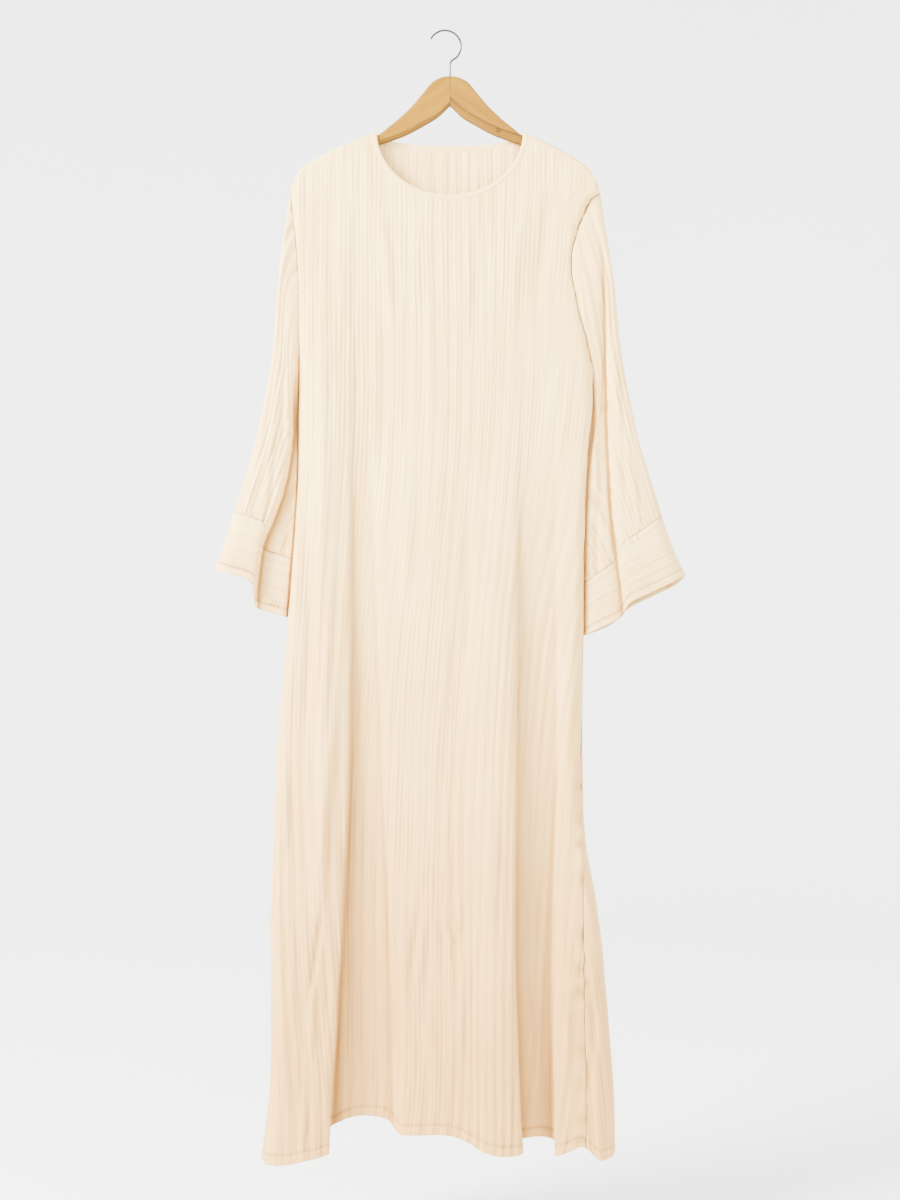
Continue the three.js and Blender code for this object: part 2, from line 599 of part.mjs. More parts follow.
// A point of a sleeve drawn as a right one: u runs 0 to 0.5 over the front, from the inner line to the
// outer one, and 0.5 to 1 back; `at` is 0 at the armhole, 1 at the cuff seam and 2 at the cuff's edge.
function sleevePoint(sleeve, u, at) {
  const turned = u - Math.floor(u);
  const front = turned < 0.5;
  const plain = (place) => {
    const value = (column) => read(sleeve.lines, "at", column, place);
    const inner = new THREE.Vector2(value("inner"), value("innerDown"));
    const outer = new THREE.Vector2(value("outer"), value("outerDown"));
    const depth = value("depth");
    const width = inner.distanceTo(outer);
    const half = halfLoop(front ? 2 * turned : 2 - 2 * turned, width, Math.min(depth, width / 4));
    const share = half.from / width;
    const bare = lerp(inner.x, outer.x, share);
    const middle = read(sleeve.fold, "down", "edge", lerp(inner.y, outer.y, share));
    const strength = smooth((lerp(inner.y, outer.y, share) - sleeve.foldStarts) / (sleeve.foldFull - sleeve.foldStarts));
    const s = (bare - middle - 0.5 * sleeve.foldLap * strength) / sleeve.foldWidth;
    const behind = 0.5 * (1 - Math.tanh(s));
    const fold = front ? strength * half.out : 0;
    const level = lerp(inner.y - sleeve.foldDrop * strength, outer.y, share);
    return {
      share,
      x: bare - 1.65 * sleeve.foldLap * fold * s * Math.exp((-s * s) / 2),
      out: depth * half.out - sleeve.foldStep * fold * behind,
      down: level + sleeve.foldDrop * strength * behind + (front ? 0 : sleeve.backDrop * half.out * clamp01(at - 1)),
    };
  };
  const here = plain(at);
  const start = plain(0);
  const seamDown = lerp(ARMHOLE_END, ARMHOLE_TOP, start.share);
  const away = (1 - clamp01(at / SLEEVE_HEAD)) ** 2;
  const underarm = UNDERARM_CLEAR * Math.exp(-((start.share / 0.12) ** 2));
  const seamX = edgeX(sleeve.side, front, seamDown) * sleeve.side + underarm + 3 * SEAM_GAP;
  const x = here.x + away * (seamX - start.x);
  const out = here.out + away * (edgeOut(seamDown) - start.out);
  const down = here.down + away * (seamDown - start.down);
  return new THREE.Vector3(x, front ? -out : out, NECK_Z - down);
}

// Turns a right-hand piece into a left-hand one where needed.
function toSide(geometry, side) {
  if (side > 0) return geometry;
  geometry.scale(-1, 1, 1);
  const index = geometry.getIndex().array;
  for (let i = 0; i < index.length; i += 3) [index[i], index[i + 1]] = [index[i + 1], index[i]];
  return geometry;
}

// Which way both walls face where a sleeve and its cuff meet.
function cuffSeamNormal(sleeve, u) {
  return sample((around, at) => sleevePoint(sleeve, around, at), u, 1, { ring: true, end: 2 }).normal;
}

function sleeveTube(sleeve) {
  const surface = (u, v) => sleevePoint(sleeve, u, lerp(SLEEVE_TRIM, 1 - SLEEVE_TRIM, v));
  const rows = evenPlaces(SLEEVE_ROWS).map((v) => v ** 1.25);
  const columns = pleatPlaces(SLEEVE_PLEATS).slice(0, -1);
  const lines = columns.map((u) => rows.map((v) => sample(surface, u, v, { ring: true })));
  columns.forEach((u, k) => {
    lines[k][0].normal = seamNormal(1, u < 0.5, NECK_Z - lines[k][0].point.z, true);
    lines[k].at(-1).normal = cuffSeamNormal(sleeve, u);
  });
  const raised = (k, m) => (m === rows.length - 1 ? 0 : PLEAT);
  const shape = { ring: true, fullInside: true, thick: () => WALL, raised };
  return mesh(`${sleeve.name}_sleeve`, toSide(wallGeometry(lines, shape), sleeve.side), CLOTH);
}

function cuff(sleeve) {
  const surface = (u, v) => sleevePoint(sleeve, u, lerp(1 + CUFF_TRIM, 2, v));
  const columns = pleatPlaces(SLEEVE_PLEATS).slice(0, -1);
  const lines = pleatPlaces(CUFF_PLEATS).map((v) => columns.map((u) => sample(surface, u, v, { ring: true })));
  columns.forEach((u, m) => (lines[0][m].normal = cuffSeamNormal(sleeve, u)));
  const shape = { alongRing: true, turned: true, thick: () => CUFF_WALL, raised: () => PLEAT };
  return mesh(`${sleeve.name}_cuff`, toSide(wallGeometry(lines, shape), sleeve.side), CLOTH);
}

// Booleans on closed geometry.
function toSolid(geometry) {
  const bare = geometry.clone();
  for (const name of ["normal", "uv"]) bare.deleteAttribute(name);
  const merged = mergeVertices(bare, 1e-4);
  const vertProperties = new Float32Array(merged.getAttribute("position").array);
  return new wasm.Manifold(new wasm.Mesh({ numProp: 3, vertProperties, triVerts: new Uint32Array(merged.index.array) }));
}
function fromSolid(solid) {
  const { vertProperties, triVerts } = solid.getMesh();
  const geometry = new THREE.BufferGeometry();
  geometry.setAttribute("position", new THREE.BufferAttribute(vertProperties, 3));
  geometry.setIndex(new THREE.BufferAttribute(triVerts, 1));
  return geometry;
}

// One arm of the hanger, drawn to the right of the joint in the middle.
function hangerArm(name, side) {
  const onCloth = (out) => NECK_Z - shoulder(side * out) - HANGER_CLEAR;
  const clothFrom = WOOD_TOP.at(-1).out;
  const top = evenPlaces(13).map((k) => {
    const out = lerp(SEAM_GAP / 2, clothFrom, k);
    return new THREE.Vector2(out, read(WOOD_TOP, "out", "z", out));
  });
  const arm = evenPlaces(8).slice(1).map((k) => {
    const out = lerp(clothFrom, HANGER_END - HANGER_TALL / 2, k);
    return new THREE.Vector2(out, onCloth(out));
  });
  const under = arm.slice(0, -1).reverse().map((spot) => new THREE.Vector2(spot.x, spot.y - HANGER_TALL));
  for (const k of evenPlaces(12)) {
    const out = lerp(clothFrom, SEAM_GAP / 2, k);
    under.push(new THREE.Vector2(out, read(WOOD_UNDER, "out", "z", out)));
  }
  const middle = arm.at(-1).clone().add(under[0]).multiplyScalar(0.5);
  const spoke = arm.at(-1).clone().sub(middle);
  const end = evenPlaces(8).slice(1, -1).map((k) => spoke.clone().rotateAround(new THREE.Vector2(), -Math.PI * k).add(middle));
  const outline = [...top, ...arm, ...end, ...under];
  const wood = new THREE.ExtrudeGeometry(new THREE.Shape(outline), {
    depth: HANGER_THICK - 2 * HANGER_EDGE,
    bevelThickness: HANGER_EDGE,
    bevelSize: HANGER_EDGE,
    bevelOffset: -HANGER_EDGE,
    bevelSegments: 2,
    curveSegments: 1,
  });
  wood.translate(0, 0, HANGER_EDGE - HANGER_THICK / 2).rotateX(Math.PI / 2);
  let solid = toSolid(wood);
  const bore = new THREE.CylinderGeometry(WIRE / 2 + SEAM_GAP, WIRE / 2 + SEAM_GAP, 2 * SHANK_IN_WOOD, 16);
  bore.rotateX(Math.PI / 2).translate(0, 0, WOOD_TOP[0].z);
  solid = solid.subtract(toSolid(bore));
  if (side > 0) {
    const hole = new THREE.CylinderGeometry(BAR_HOLE.radius, BAR_HOLE.radius, 2 * BAR_HOLE.deep, 12);
    hole.translate(BAR_HOLE.x, -HANGER_THICK / 2, BAR_HOLE.z);
    solid = solid.subtract(toSolid(hole));
  }
  return mesh(name, toSide(fromSolid(solid), side), WOOD);
}

// The hook: a round wire over the rail and down into the joint between the arms.
function hook() {
  const middle = WIRE / 2 - HOOK_RADIUS;
  const points = [];
  for (let degrees = HOOK_TIP; degrees >= HOOK_END; degrees -= 16) {
    const angle = THREE.MathUtils.degToRad(degrees);
    points.push(new THREE.Vector3(HOOK_RADIUS * Math.cos(angle), 0, middle + HOOK_RADIUS * Math.sin(angle)));
  }
  const foot = WOOD_TOP[0].z - SHANK_IN_WOOD + 1;
  const bend = [[9.5, -42.5], [SHANK_X + 0.3, -47], [SHANK_X, -53], [SHANK_X, -64], [SHANK_X, foot]];
  for (const [x, z] of bend) points.push(new THREE.Vector3(x, 0, z));
  const section = new THREE.Shape().absarc(0, 0, WIRE / 2, 0, 2 * Math.PI);
  const extrudePath = new THREE.CatmullRomCurve3(points, false, "centripetal");
  return mesh("hook", new THREE.ExtrudeGeometry(section, { extrudePath, steps: 30, curveSegments: 5 }), STEEL);
}

const garment = new THREE.Group();
garment.add(panel("front_panel", true), panel("back_panel", false), neckBinding());
for (const sleeve of [LEFT_SLEEVE, RIGHT_SLEEVE]) garment.add(sleeveTube(sleeve), cuff(sleeve));
garment.add(hangerArm("left_hanger_arm", -1), hangerArm("right_hanger_arm", 1));
garment.position.x = SHANK_X;

const group = new THREE.Group();
group.add(garment, hook());
export default group;
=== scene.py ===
# An abaya in crinkled cloth on a wooden hanger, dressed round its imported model.
# Lengths are worked out in millimetres in the model's frame: +Z up, the front facing -Y, the origin in the
# top of the hook. Each mesh is put into Blender in metres. Left and right are as seen from the front.
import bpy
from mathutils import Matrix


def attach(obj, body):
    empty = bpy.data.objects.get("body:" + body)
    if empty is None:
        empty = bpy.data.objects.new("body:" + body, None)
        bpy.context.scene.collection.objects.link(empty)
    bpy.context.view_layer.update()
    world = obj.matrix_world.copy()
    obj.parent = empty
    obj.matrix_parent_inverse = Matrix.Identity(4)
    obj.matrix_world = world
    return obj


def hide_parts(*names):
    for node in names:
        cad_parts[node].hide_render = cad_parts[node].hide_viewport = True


bl_info = {
    "name": "Abaya on a Wooden Hanger",
    "version": (1, 0, 0),
    "blender": (4, 5, 0),
    "location": "3D View > Sidebar > Abaya",
    "description": "Dresses the model of a crinkled abaya on its hanger",
    "category": "Add Mesh",
}

from functools import lru_cache

import bpy
import numpy as np

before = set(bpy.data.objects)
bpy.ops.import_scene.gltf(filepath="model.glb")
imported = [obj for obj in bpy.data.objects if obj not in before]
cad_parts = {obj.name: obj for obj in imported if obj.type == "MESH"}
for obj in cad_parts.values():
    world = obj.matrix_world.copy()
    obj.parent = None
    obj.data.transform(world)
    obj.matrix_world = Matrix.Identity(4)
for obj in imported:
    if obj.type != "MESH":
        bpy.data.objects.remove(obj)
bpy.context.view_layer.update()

MM = 0.001


# Short tables

def columns(names, *rows):
    """Rows of numbers as one array for each named column."""
    return dict(zip(names.split(), np.array(rows, float).T))


def records(names, *rows):
    """Rows of numbers as one dictionary for each row."""
    return [dict(zip(names.split(), row)) for row in rows]


# Cloth
SLEEVE_BULGE = (11, 16)  # how far in behind the body a sleeve's back reaches, at the armhole and the cuff
BULGE_SPREAD = 0.3  # over this share of the sleeve's width
BULGE_STARTS = 0.05  # from this share of its length
BULGE_GROWS = 0.2  # and in full after this much more
CLOTH_OUT = 0.6  # from the middle of the model's wall to the scene's outer skin
NECK_TUCK = 4.0  # how far outside the neckline the panels' own edge lies, under the binding
SEAM_GAP = 0.3  # between the front and the back along the shoulders
HEAD_GAP = 3 * SEAM_GAP  # between the body and a sleeve's head
SEAM_TOUCH = 0.06  # how close the scene brings the two edges of a side seam
SHANK_X = 7.2  # the garment and the hanger's arms are centred under the hook's shank

# Garment: the same sizes as the model's
NECK_Z = -146.2
NECK_HALF = 105
FRONT_NECK_DROP = 91
BACK_NECK_DROP = 17
BINDING = 7
ARMHOLE_TOP = 85
ARMHOLE_END = 335
SLEEVE_HEAD = 0.25  # the share of a sleeve's length over which its head joins the armhole
HEM_LEVEL = 1456
GRAIN_FROM = 60  # from here outwards the front closes up over the right armhole's curve
BACK_FAN = 0.55  # the share of the back that reaches round to the side seam in front
ARM_ROUND = 7  # how far down the cloth rounds over the hanger's arm
PANEL_WIDE = 440
UNDERARM_CLEAR = 1.2  # narrower than in the model, so that no light shows at the underarm

SHOULDERS = {
    "left": {"slope": 0.28, "bow": 0.0017, "bend": 203, "end": 229},
    "right": {"slope": 0.35, "bow": 0.002, "bend": 186, "end": 215},
}
OUTLINE = columns(
    "down left right seam",
    (335, -216, 204, 1),
    (400, -216, 204, 1),
    (444, -216, 199, 1),
    (508, -217, 195, 1),
    (620, -226, 192, 1),
    (725, -234, 191, 0.997),
    (870, -246, 190, 0.985),
    (1020, -253, 195, 0.97),
    (1120, -257, 212, 0.936),
    (1230, -256, 223, 0.916),
    (1370, -258, 234, 0.899),
    (1470, -269, 237, 0.896),
)
ARMHOLE = columns(
    "down left right right_front half",
    (85, -229, 215, 215, 0),
    (97, -228, 214, 201, 4),
    (138, -223, 211, 183, 8),
    (175, -219, 209, 174, 10),
    (205, -217, 207, 174, 11),
    (253, -216, 205, 183, 11),
    (300, -216, 204, 196, 8),
    (335, -216, 204, 204, 0),
)
DEPTH = columns(
    "down front back turn",
    (0, 8.6, 8.6, 12),
    (100, 11, 10, 13),
    (335, 17, 14, 14),
    (725, 27, 22, 15),
    (1100, 40, 34, 18),
    (1470, 55, 45, 24),
)
# Long folds by their visible edges at four levels. `side` is the flap that hangs in front, -1 for the left.
FOLD_LEVELS = np.array([430.0, 900, 1200, 1470])
FOLD_GROWTH = 1.3
LAP_SCALE = 1.65  # one over the highest value of s times exp(-s * s / 2)
SWELL_FADE = 250
FOLD_NAMES = "chest hip knee hem starts side step lap width"
FRONT_FOLDS = records(
    FOLD_NAMES,
    (-141, -143, -156, -172, 90, -1, 45, 18, 11),
    (-116, -98, -86, -80, 90, 1, 22, 0, 12),
    (98, 96, 95, 105, 240, -1, 32, 13, 10),
    (150, 152, 145, 147, 240, 1, 30, 8, 10),
)
BACK_FOLDS = records(
    FOLD_NAMES,
    (-150, -160, -175, -190, 200, -1, 18, 0, 12),
    (-95, -85, -70, -60, 200, 1, 20, 6, 12),
    (60, 62, 70, 82, 300, -1, 20, 8, 12),
    (130, 140, 150, 160, 300, 1, 18, 0, 12),
)
SWELL_NAMES = "chest hip knee hem starts ends rise width"
FRONT_SWELLS = records(
    SWELL_NAMES,
    (-181, -182, -190, -205, 120, 1250, 6, 14),
    (-202, -203, -212, -225, 430, 900, -5, 9),
    (70, 70, 70, 70, 500, 1900, 16, 40),
    (-30, -28, -26, -20, 150, 1500, 4, 38),
)
BACK_SWELLS = records(
    SWELL_NAMES,
    (0, 0, 0, 5, 200, 1700, 8, 50),
    (-185, -200, -215, -225, 300, 1500, 5, 16),
)
FRONT_HEM = columns(
    "x down",
    (-269, 1472),
    (-230, 1470),
    (-200, 1462),
    (-178, 1446),
    (-150, 1416),
    (-102, 1414),
    (-88, 1420),
    (-74, 1434),
    (-10, 1434),
    (18, 1441),
    (50, 1456),
    (84, 1460),
    (112, 1447),
    (138, 1446),
    (157, 1465),
    (189, 1452),
    (215, 1471),
    (237, 1465),
)
BACK_HEM = columns(
    "x down",
    (-269, 1472),
    (-215, 1450),
    (-165, 1416),
    (-80, 1414),
    (-20, 1432),
    (70, 1440),
    (140, 1436),
    (200, 1456),
    (237, 1465),
)
LINE_NAMES = "at outer outer_down inner inner_down depth"
SLEEVES = {
    "right": {
        "side": 1,
        "lines": columns(
            LINE_NAMES,
            (0, 215, 85, 204, 335, 16),
            (0.25, 233.5, 203, 209.5, 412, 17),
            (0.5, 247, 320, 201.5, 489, 17),
            (0.75, 270, 437, 198, 567, 18),
            (1, 304, 551, 196.5, 645, 20),
            (2, 337, 638, 195.5, 722, 24),
        ),
        "fold": columns(
            "down edge",
            (85, 204),
            (155, 217),
            (260, 223),
            (430, 227),
            (556, 234),
            (650, 245),
            (700, 250),
        ),
        "step": 13,
        "lap": 3,
        "width": 11,
        "drop": 17,
        "starts": 120,
        "full": 420,
        "back_drop": 9,
    },
    "left": {
        "side": -1,
        "lines": columns(
            LINE_NAMES,
            (0, 229, 85, 216, 335, 15),
            (0.25, 245, 200, 220.6, 412, 16),
            (0.5, 255, 315, 221.2, 480, 17),
            (0.75, 276, 430, 224.5, 545, 19),
            (1, 310, 544, 230.2, 612, 22),
            (2, 337, 628, 237, 697, 26),
        ),
        "fold": columns(
            "down edge",
            (225, 224),
            (430, 226),
            (490, 233),
            (541, 247),
            (585, 265),
            (608, 271),
            (660, 277),
        ),
        "step": 20,
        "lap": 8,
        "width": 9,
        "drop": 38,
        "starts": 300,
        "full": 560,
        "back_drop": 0,
    },
}

# Hanger: the same sizes as the model's
WIRE = 3
HOOK_RADIUS = 23
HOOK_TIP = 150
HOOK_END = -42
HOOK_BEND = columns("x z", (9.5, -42.5), (7.5, -47), (7.2, -53), (7.2, -64), (7.2, -87.5))
HANGER_THICK = 13
HANGER_EDGE = 4.5
HANGER_TALL = 15.5
HANGER_END = 196
HANGER_CLEAR = 1.9
WOOD_TOP = columns(
    "out z",
    (0, -64.5),
    (12, -66),
    (26, -73.5),
    (40, -90),
    (54, -106.5),
    (73, -124.8),
    (92, -140.5),
    (102, -148.6),
    (108, -149.5),
)
WOOD_UNDER = columns(
    "out z",
    (0, -108),
    (17, -124),
    (33, -134),
    (64, -150.5),
    (101, -163.5),
    (108, -165.5),
)
GROOVE_OVER_EDGE = 12.5  # the right arm's groove, above its lower edge
GROOVE_ENDS = 126
BAR_HOLE = {"x": 69, "z": -143.3, "radius": 3.2}

# How finely the cloth and the wood are divided
PANEL_COLUMNS = 366
SLEEVE_COLUMNS = 280
SLEEVE_ROWS = 110
CUFF_ROWS = 34
EVEN_STEPS = 241
TOP_ROUNDS = 30
ARM_COLUMNS = 46
TIP_STATIONS = 13
BAR_SIDES = 6
RIDGE_ROWS = [0, 0.2, 0.5, 1, 1.8, 3, 4.5, 6.3, 8, 9.7, 12, 16]
HEM_ROWS = [24, 19, 16.5, 15, 14, 13, 11.5, 9, 6, 3.4, 1.4, 0]  # millimetres above a hem's edge
HEM_STITCH = 14
CUFF_STITCH = 12
CUFF_DEEP = 88

# Creases on the front, listed one by one: from (x0, down0) to (x1, down1), bowed sideways by `bow` in the
# middle.
CREASE_NAMES = "x0 down0 x1 down1 bow width rise"
FRONT_CREASES = records(
    CREASE_NAMES,
    # the long fold on the left flap that runs out towards its outer edge
    (-163, 800, -187, 1143, -4, 7, 3.0),
    (-185, 1080, -207, 1260, 6, 4.5, -3.4),
    (-176, 1075, -190, 1150, -3, 4, 2.2),
    (-193, 1160, -203, 1350, 3, 5, 1.8),
    # small creases on the left flap
    (-248, 1265, -252, 1345, 2, 4, -1.2),
    (-211, 1290, -206, 1385, -3, 4, -1.5),
    (-184, 1310, -178, 1425, 4, 4, 1.6),
    (-198, 1390, -205, 1462, 0, 4, -1.5),
    (-232, 1180, -224, 1300, 4, 6, 1.4),
    (-170, 1200, -184, 1330, 0, 4, -1.3),
    (-236, 880, -241, 1060, 3, 6, 1.3),
    # the middle
    (-36, 1080, -58, 1250, -5, 5, -2.2),
    (-29, 1104, -44, 1240, -4, 5, 1.6),
    (-78, 1215, -80, 1330, 1, 3.5, -1.2),
    (14, 1112, -24, 1168, 3, 4.5, -1.9),
    (20, 1110, -14, 1172, 3, 5, 1.5),
    (-30, 1250, -36, 1330, 2, 6, 1.1),
    (-52, 1290, -62, 1400, 2, 5, 1.0),
    (30, 1180, 12, 1330, -5, 7, 1.4),
    (60, 960, 48, 1180, 4, 9, 1.6),
    (-10, 640, -16, 900, 5, 10, 1.3),
    (30, 520, 24, 800, -4, 9, -1.4),
    (-62, 420, -66, 700, 3, 9, 1.3),
    (-96, 230, -104, 520, 4, 8, -1.5),
    # the recessed stretch between the two folds on the right
    (117, 1010, 112, 1240, 3, 6, 1.8),
    (131, 1120, 127, 1420, -3, 5, 1.4),
    (108, 1180, 116, 1300, 2, 4, -1.5),
    # the right side, across the seam
    (206, 1098, 178, 1176, 10, 4.5, 2.6),
    (200, 1100, 174, 1172, 10, 4, -2.0),
    (178, 1150, 168, 1210, 4, 4.5, -1.6),
    (187, 980, 183, 1110, 3, 5, 1.6),
    (176, 700, 170, 1010, -4, 7, 1.6),
    (163, 1210, 166, 1400, 3, 6, 1.4),
    (214, 1230, 218, 1440, 4, 6, 1.3),
    # pulled lines below the neck and the shoulders
    (-104, 92, -86, 300, 5, 7, 1.4),
    (112, 70, 88, 330, -6, 8, 1.5),
    (150, 62, 120, 300, -6, 9, -1.3),
    (-150, 70, -160, 330, 4, 8, 1.3),
    (20, 118, 24, 330, 3, 9, 1.0),
)
BACK_CREASES = records(
    CREASE_NAMES,
    (-166, 760, -190, 1120, -4, 7, 2.4),
    (-190, 1090, -214, 1290, 6, 5, -2.4),
    (-236, 1180, -240, 1360, 3, 5, 1.5),
    (-120, 980, -132, 1300, 5, 7, 1.8),
    (-40, 1060, -62, 1260, -5, 5, -2.0),
    (-22, 1120, -38, 1230, 4, 5, 1.5),
    (22, 1150, -10, 1215, 3, 5, -1.6),
    (48, 820, 40, 1120, 4, 8, 1.6),
    (104, 1040, 112, 1290, -3, 6, 1.7),
    (180, 900, 172, 1170, 5, 6, 1.7),
    (205, 1200, 196, 1390, 4, 6, -1.5),
    (0, 520, -6, 830, -5, 9, 1.3),
    (-70, 330, -76, 640, 4, 8, -1.3),
    (96, 260, 84, 620, -6, 8, 1.4),
    (-128, 70, -140, 330, 4, 8, 1.3),
    (130, 64, 118, 280, -4, 8, 1.3),
)
# The same on the sleeves, drawn as on a right one: x is measured outwards.
SLEEVE_CREASES = {
    "right": records(
        CREASE_NAMES,
        (232, 240, 258, 520, -5, 6, 1.6),
        (240, 330, 250, 560, 3, 4.5, -1.5),
        (262, 480, 276, 590, -3, 4, 1.5),
        (222, 470, 228, 640, 4, 5, 1.8),
        (212, 520, 214, 680, -3, 5, -1.6),
        (205, 420, 208, 560, 3, 5, 1.6),
        (255, 560, 300, 545, 3, 4, 0.9),
    ),
    "left": records(
        CREASE_NAMES,
        (236, 260, 252, 500, 5, 6, 1.6),
        (248, 400, 262, 560, -3, 4.5, -1.4),
        (270, 470, 292, 560, 3, 5, 1.3),
        (229, 330, 231, 470, 3, 4, 1.6),
        (240, 500, 262, 585, 4, 4, 2.2),
        (232, 560, 236, 640, 3, 5, -1.4),
    ),
}


# Small formulas

def clamp01(x):
    """x, held between 0 and 1."""
    return np.clip(x, 0, 1)


def lerp(a, b, share):
    """A share of the way from a to b."""
    return a + (b - a) * share


def smooth(x):
    """0 to 1 on an S-shaped cubic: three x squared less two x cubed."""
    x = clamp01(x)
    return x * x * (3 - 2 * x)


def round_off(x):
    """A quarter circle from 0 to 1: steep at first, then level."""
    return np.sqrt(1 - (1 - clamp01(x)) ** 2)


def bell(x):
    """1 in the middle, falling off on both sides as the exponential of minus x squared."""
    return np.exp(-x * x)


def curve(xs, ys, at):
    """A cubic through a table's rows, whose slope at each row comes from the rows on its two sides."""
    last = len(xs) - 1
    row = np.arange(last + 1)
    before, after = np.maximum(row - 1, 0), np.minimum(row + 1, last)
    slope = (ys[after] - ys[before]) / (xs[after] - xs[before])
    at = np.clip(at, xs[0], xs[-1])
    k = np.clip(np.searchsorted(xs, at, side="right") - 1, 0, last - 1)
    span = xs[k + 1] - xs[k]
    t = (at - xs[k]) / span
    bend = t * (1 - t) * span
    return ys[k] + (ys[k + 1] - ys[k]) * smooth(t) + bend * ((1 - t) * slope[k] - t * slope[k + 1])


LATTICE = 64


def noise(x, y, seed):
    """Random values from -1 to 1 at whole numbers of x and y, blended smoothly between them."""
    values = np.random.default_rng(seed).uniform(-1, 1, (LATTICE, LATTICE))
    i, j = np.floor(x).astype(int), np.floor(y).astype(int)
    s, t = smooth(x - i), smooth(y - j)

    def at(a, b):
        return values[a % LATTICE, b % LATTICE]

    return lerp(lerp(at(i, j), at(i + 1, j), s), lerp(at(i, j + 1), at(i + 1, j + 1), s), t)


def length(vectors):
    """The length of each vector in an array."""
    return np.linalg.norm(vectors, axis=-1)


def unit(vectors):
    """Each vector, brought to length 1."""
    return vectors / np.maximum(length(vectors), 1e-9)[..., None]


# The body's shape

def fold_line(fold, down):
    """Where a fold's edge runs at each level: a curve through its places at the four levels."""
    places = np.array([fold[level] for level in ("chest", "hip", "knee", "hem")], float)
    return curve(FOLD_LEVELS, places, down)


def fold_strength(fold, down):
    """How far a fold has grown: 0 where it starts and 1 at the hem, as a power of the share of the way."""
    return clamp01((down - fold["starts"]) / (HEM_LEVEL - fold["starts"])) ** FOLD_GROWTH


def lapped(lap, strength, s):
    """How far cloth laps over sideways at a distance s from a fold's edge: s times the exponential of minus
    half of s squared."""
    return LAP_SCALE * lap * strength * s * np.exp(-s * s / 2)


def fold_shift(folds, swells, x, down):
    """What the folds and swells add sideways and outwards. A fold steps out by a tanh across its edge and
    laps over sideways there. A swell is a bell."""
    across, out = 0, 0
    for fold in folds:
        strength = fold_strength(fold, down)
        middle = fold_line(fold, down) + fold["side"] * 0.5 * fold["lap"] * strength
        s = (x - middle) / fold["width"]
        out = out + fold["side"] * fold["step"] * strength * 0.5 * (1 + np.tanh(s))
        across = across - lapped(fold["lap"], strength, s)
    for swell in swells:
        inside = smooth((down - swell["starts"]) / SWELL_FADE) * smooth((swell["ends"] - down) / SWELL_FADE)
        out = out + swell["rise"] * inside * bell((x - fold_line(swell, down)) / swell["width"])
    return across, out


def shoulder(x):
    """How far the shoulder line lies below the neck points: down the hanger's arm, then a quarter of an
    ellipse over its end."""

    def on_side(side, x):
        on_arm = side["slope"] * x + side["bow"] * x**2
        at_end = side["end"] - NECK_HALF
        at_end = side["slope"] * at_end + side["bow"] * at_end**2
        reach = clamp01((x + NECK_HALF - side["bend"]) / (side["end"] - side["bend"]))
        return on_arm + (ARMHOLE_TOP - at_end) * (1 - np.sqrt(1 - reach**2))

    beyond = np.maximum(0, np.abs(x) - NECK_HALF)
    return np.where(x < 0, on_side(SHOULDERS["left"], beyond), on_side(SHOULDERS["right"], beyond))


def neck_edge(x, front, offset):
    """The level of a line `offset` outside the neckline: half an ellipse hung from the shoulder line."""
    drop = np.where(front, FRONT_NECK_DROP, BACK_NECK_DROP) + offset
    return lerp(shoulder(x), drop, np.sqrt(1 - np.minimum(1, np.abs(x) / (NECK_HALF + offset)) ** 2))


def armhole(column, down):
    """One column of the armholes' table, on straight stretches between its rows."""
    return np.interp(down, ARMHOLE["down"], ARMHOLE[column])


def edge_x(side, front, down):
    """Where the body's side edge is: on the armhole, then on the outline below it."""
    column = "left" if side < 0 else "right"
    above = armhole(column, down)
    if side > 0:
        above = np.where(front, armhole("right_front", down), above)
    return np.where(down < ARMHOLE_END, above, curve(OUTLINE["down"], OUTLINE[column], down))


def half_loop(share, width, turn, cut=0.0):
    """Half of a flat loop by arc length: a turn at each end and a straight run between. `cut` is how far
    out, as a share of the run's, its open ends stand, 0.95 at most. Gives the distance from the start, and
    how far out."""
    first = np.arcsin(np.minimum(0.95, cut))
    turn_arc = (np.pi / 2 - first) * turn
    turn_width = turn * np.cos(first)
    whole = width - 2 * turn_width + 2 * turn_arc
    arc = share * whole
    near = np.minimum(arc, whole - arc)
    angle = first + np.minimum(near, turn_arc) / turn
    edge = turn_width - turn * np.cos(angle)
    out = (np.sin(angle) - np.sin(first)) / (1 - np.sin(first))
    on_run = near >= turn_arc
    start = np.where(on_run, turn_width + arc - turn_arc, np.where(arc < turn_arc, edge, width - edge))
    return start, np.where(on_run, 1.0, out)


def body_at(x, down, front, flat):
    """A point over the body's front or back: out by its depth and folds, drawn in over the hanger's arm on a
    quarter circle. `flat` is 0 on the side edges and 1 within."""
    across_front, out_front = fold_shift(FRONT_FOLDS, FRONT_SWELLS, x, down)
    across_back, out_back = fold_shift(BACK_FOLDS, BACK_SWELLS, x, down)
    across = np.where(front, across_front, across_back)
    out = np.where(
        front,
        curve(DEPTH["down"], DEPTH["front"], down) + out_front,
        curve(DEPTH["down"], DEPTH["back"], down) + out_back,
    )
    out = lerp(armhole("half", down), out, flat) * round_off((down - shoulder(x)) / ARM_ROUND)
    return np.stack(np.broadcast_arrays(x + across * flat, np.where(front, -out, out), NECK_Z - down), -1)


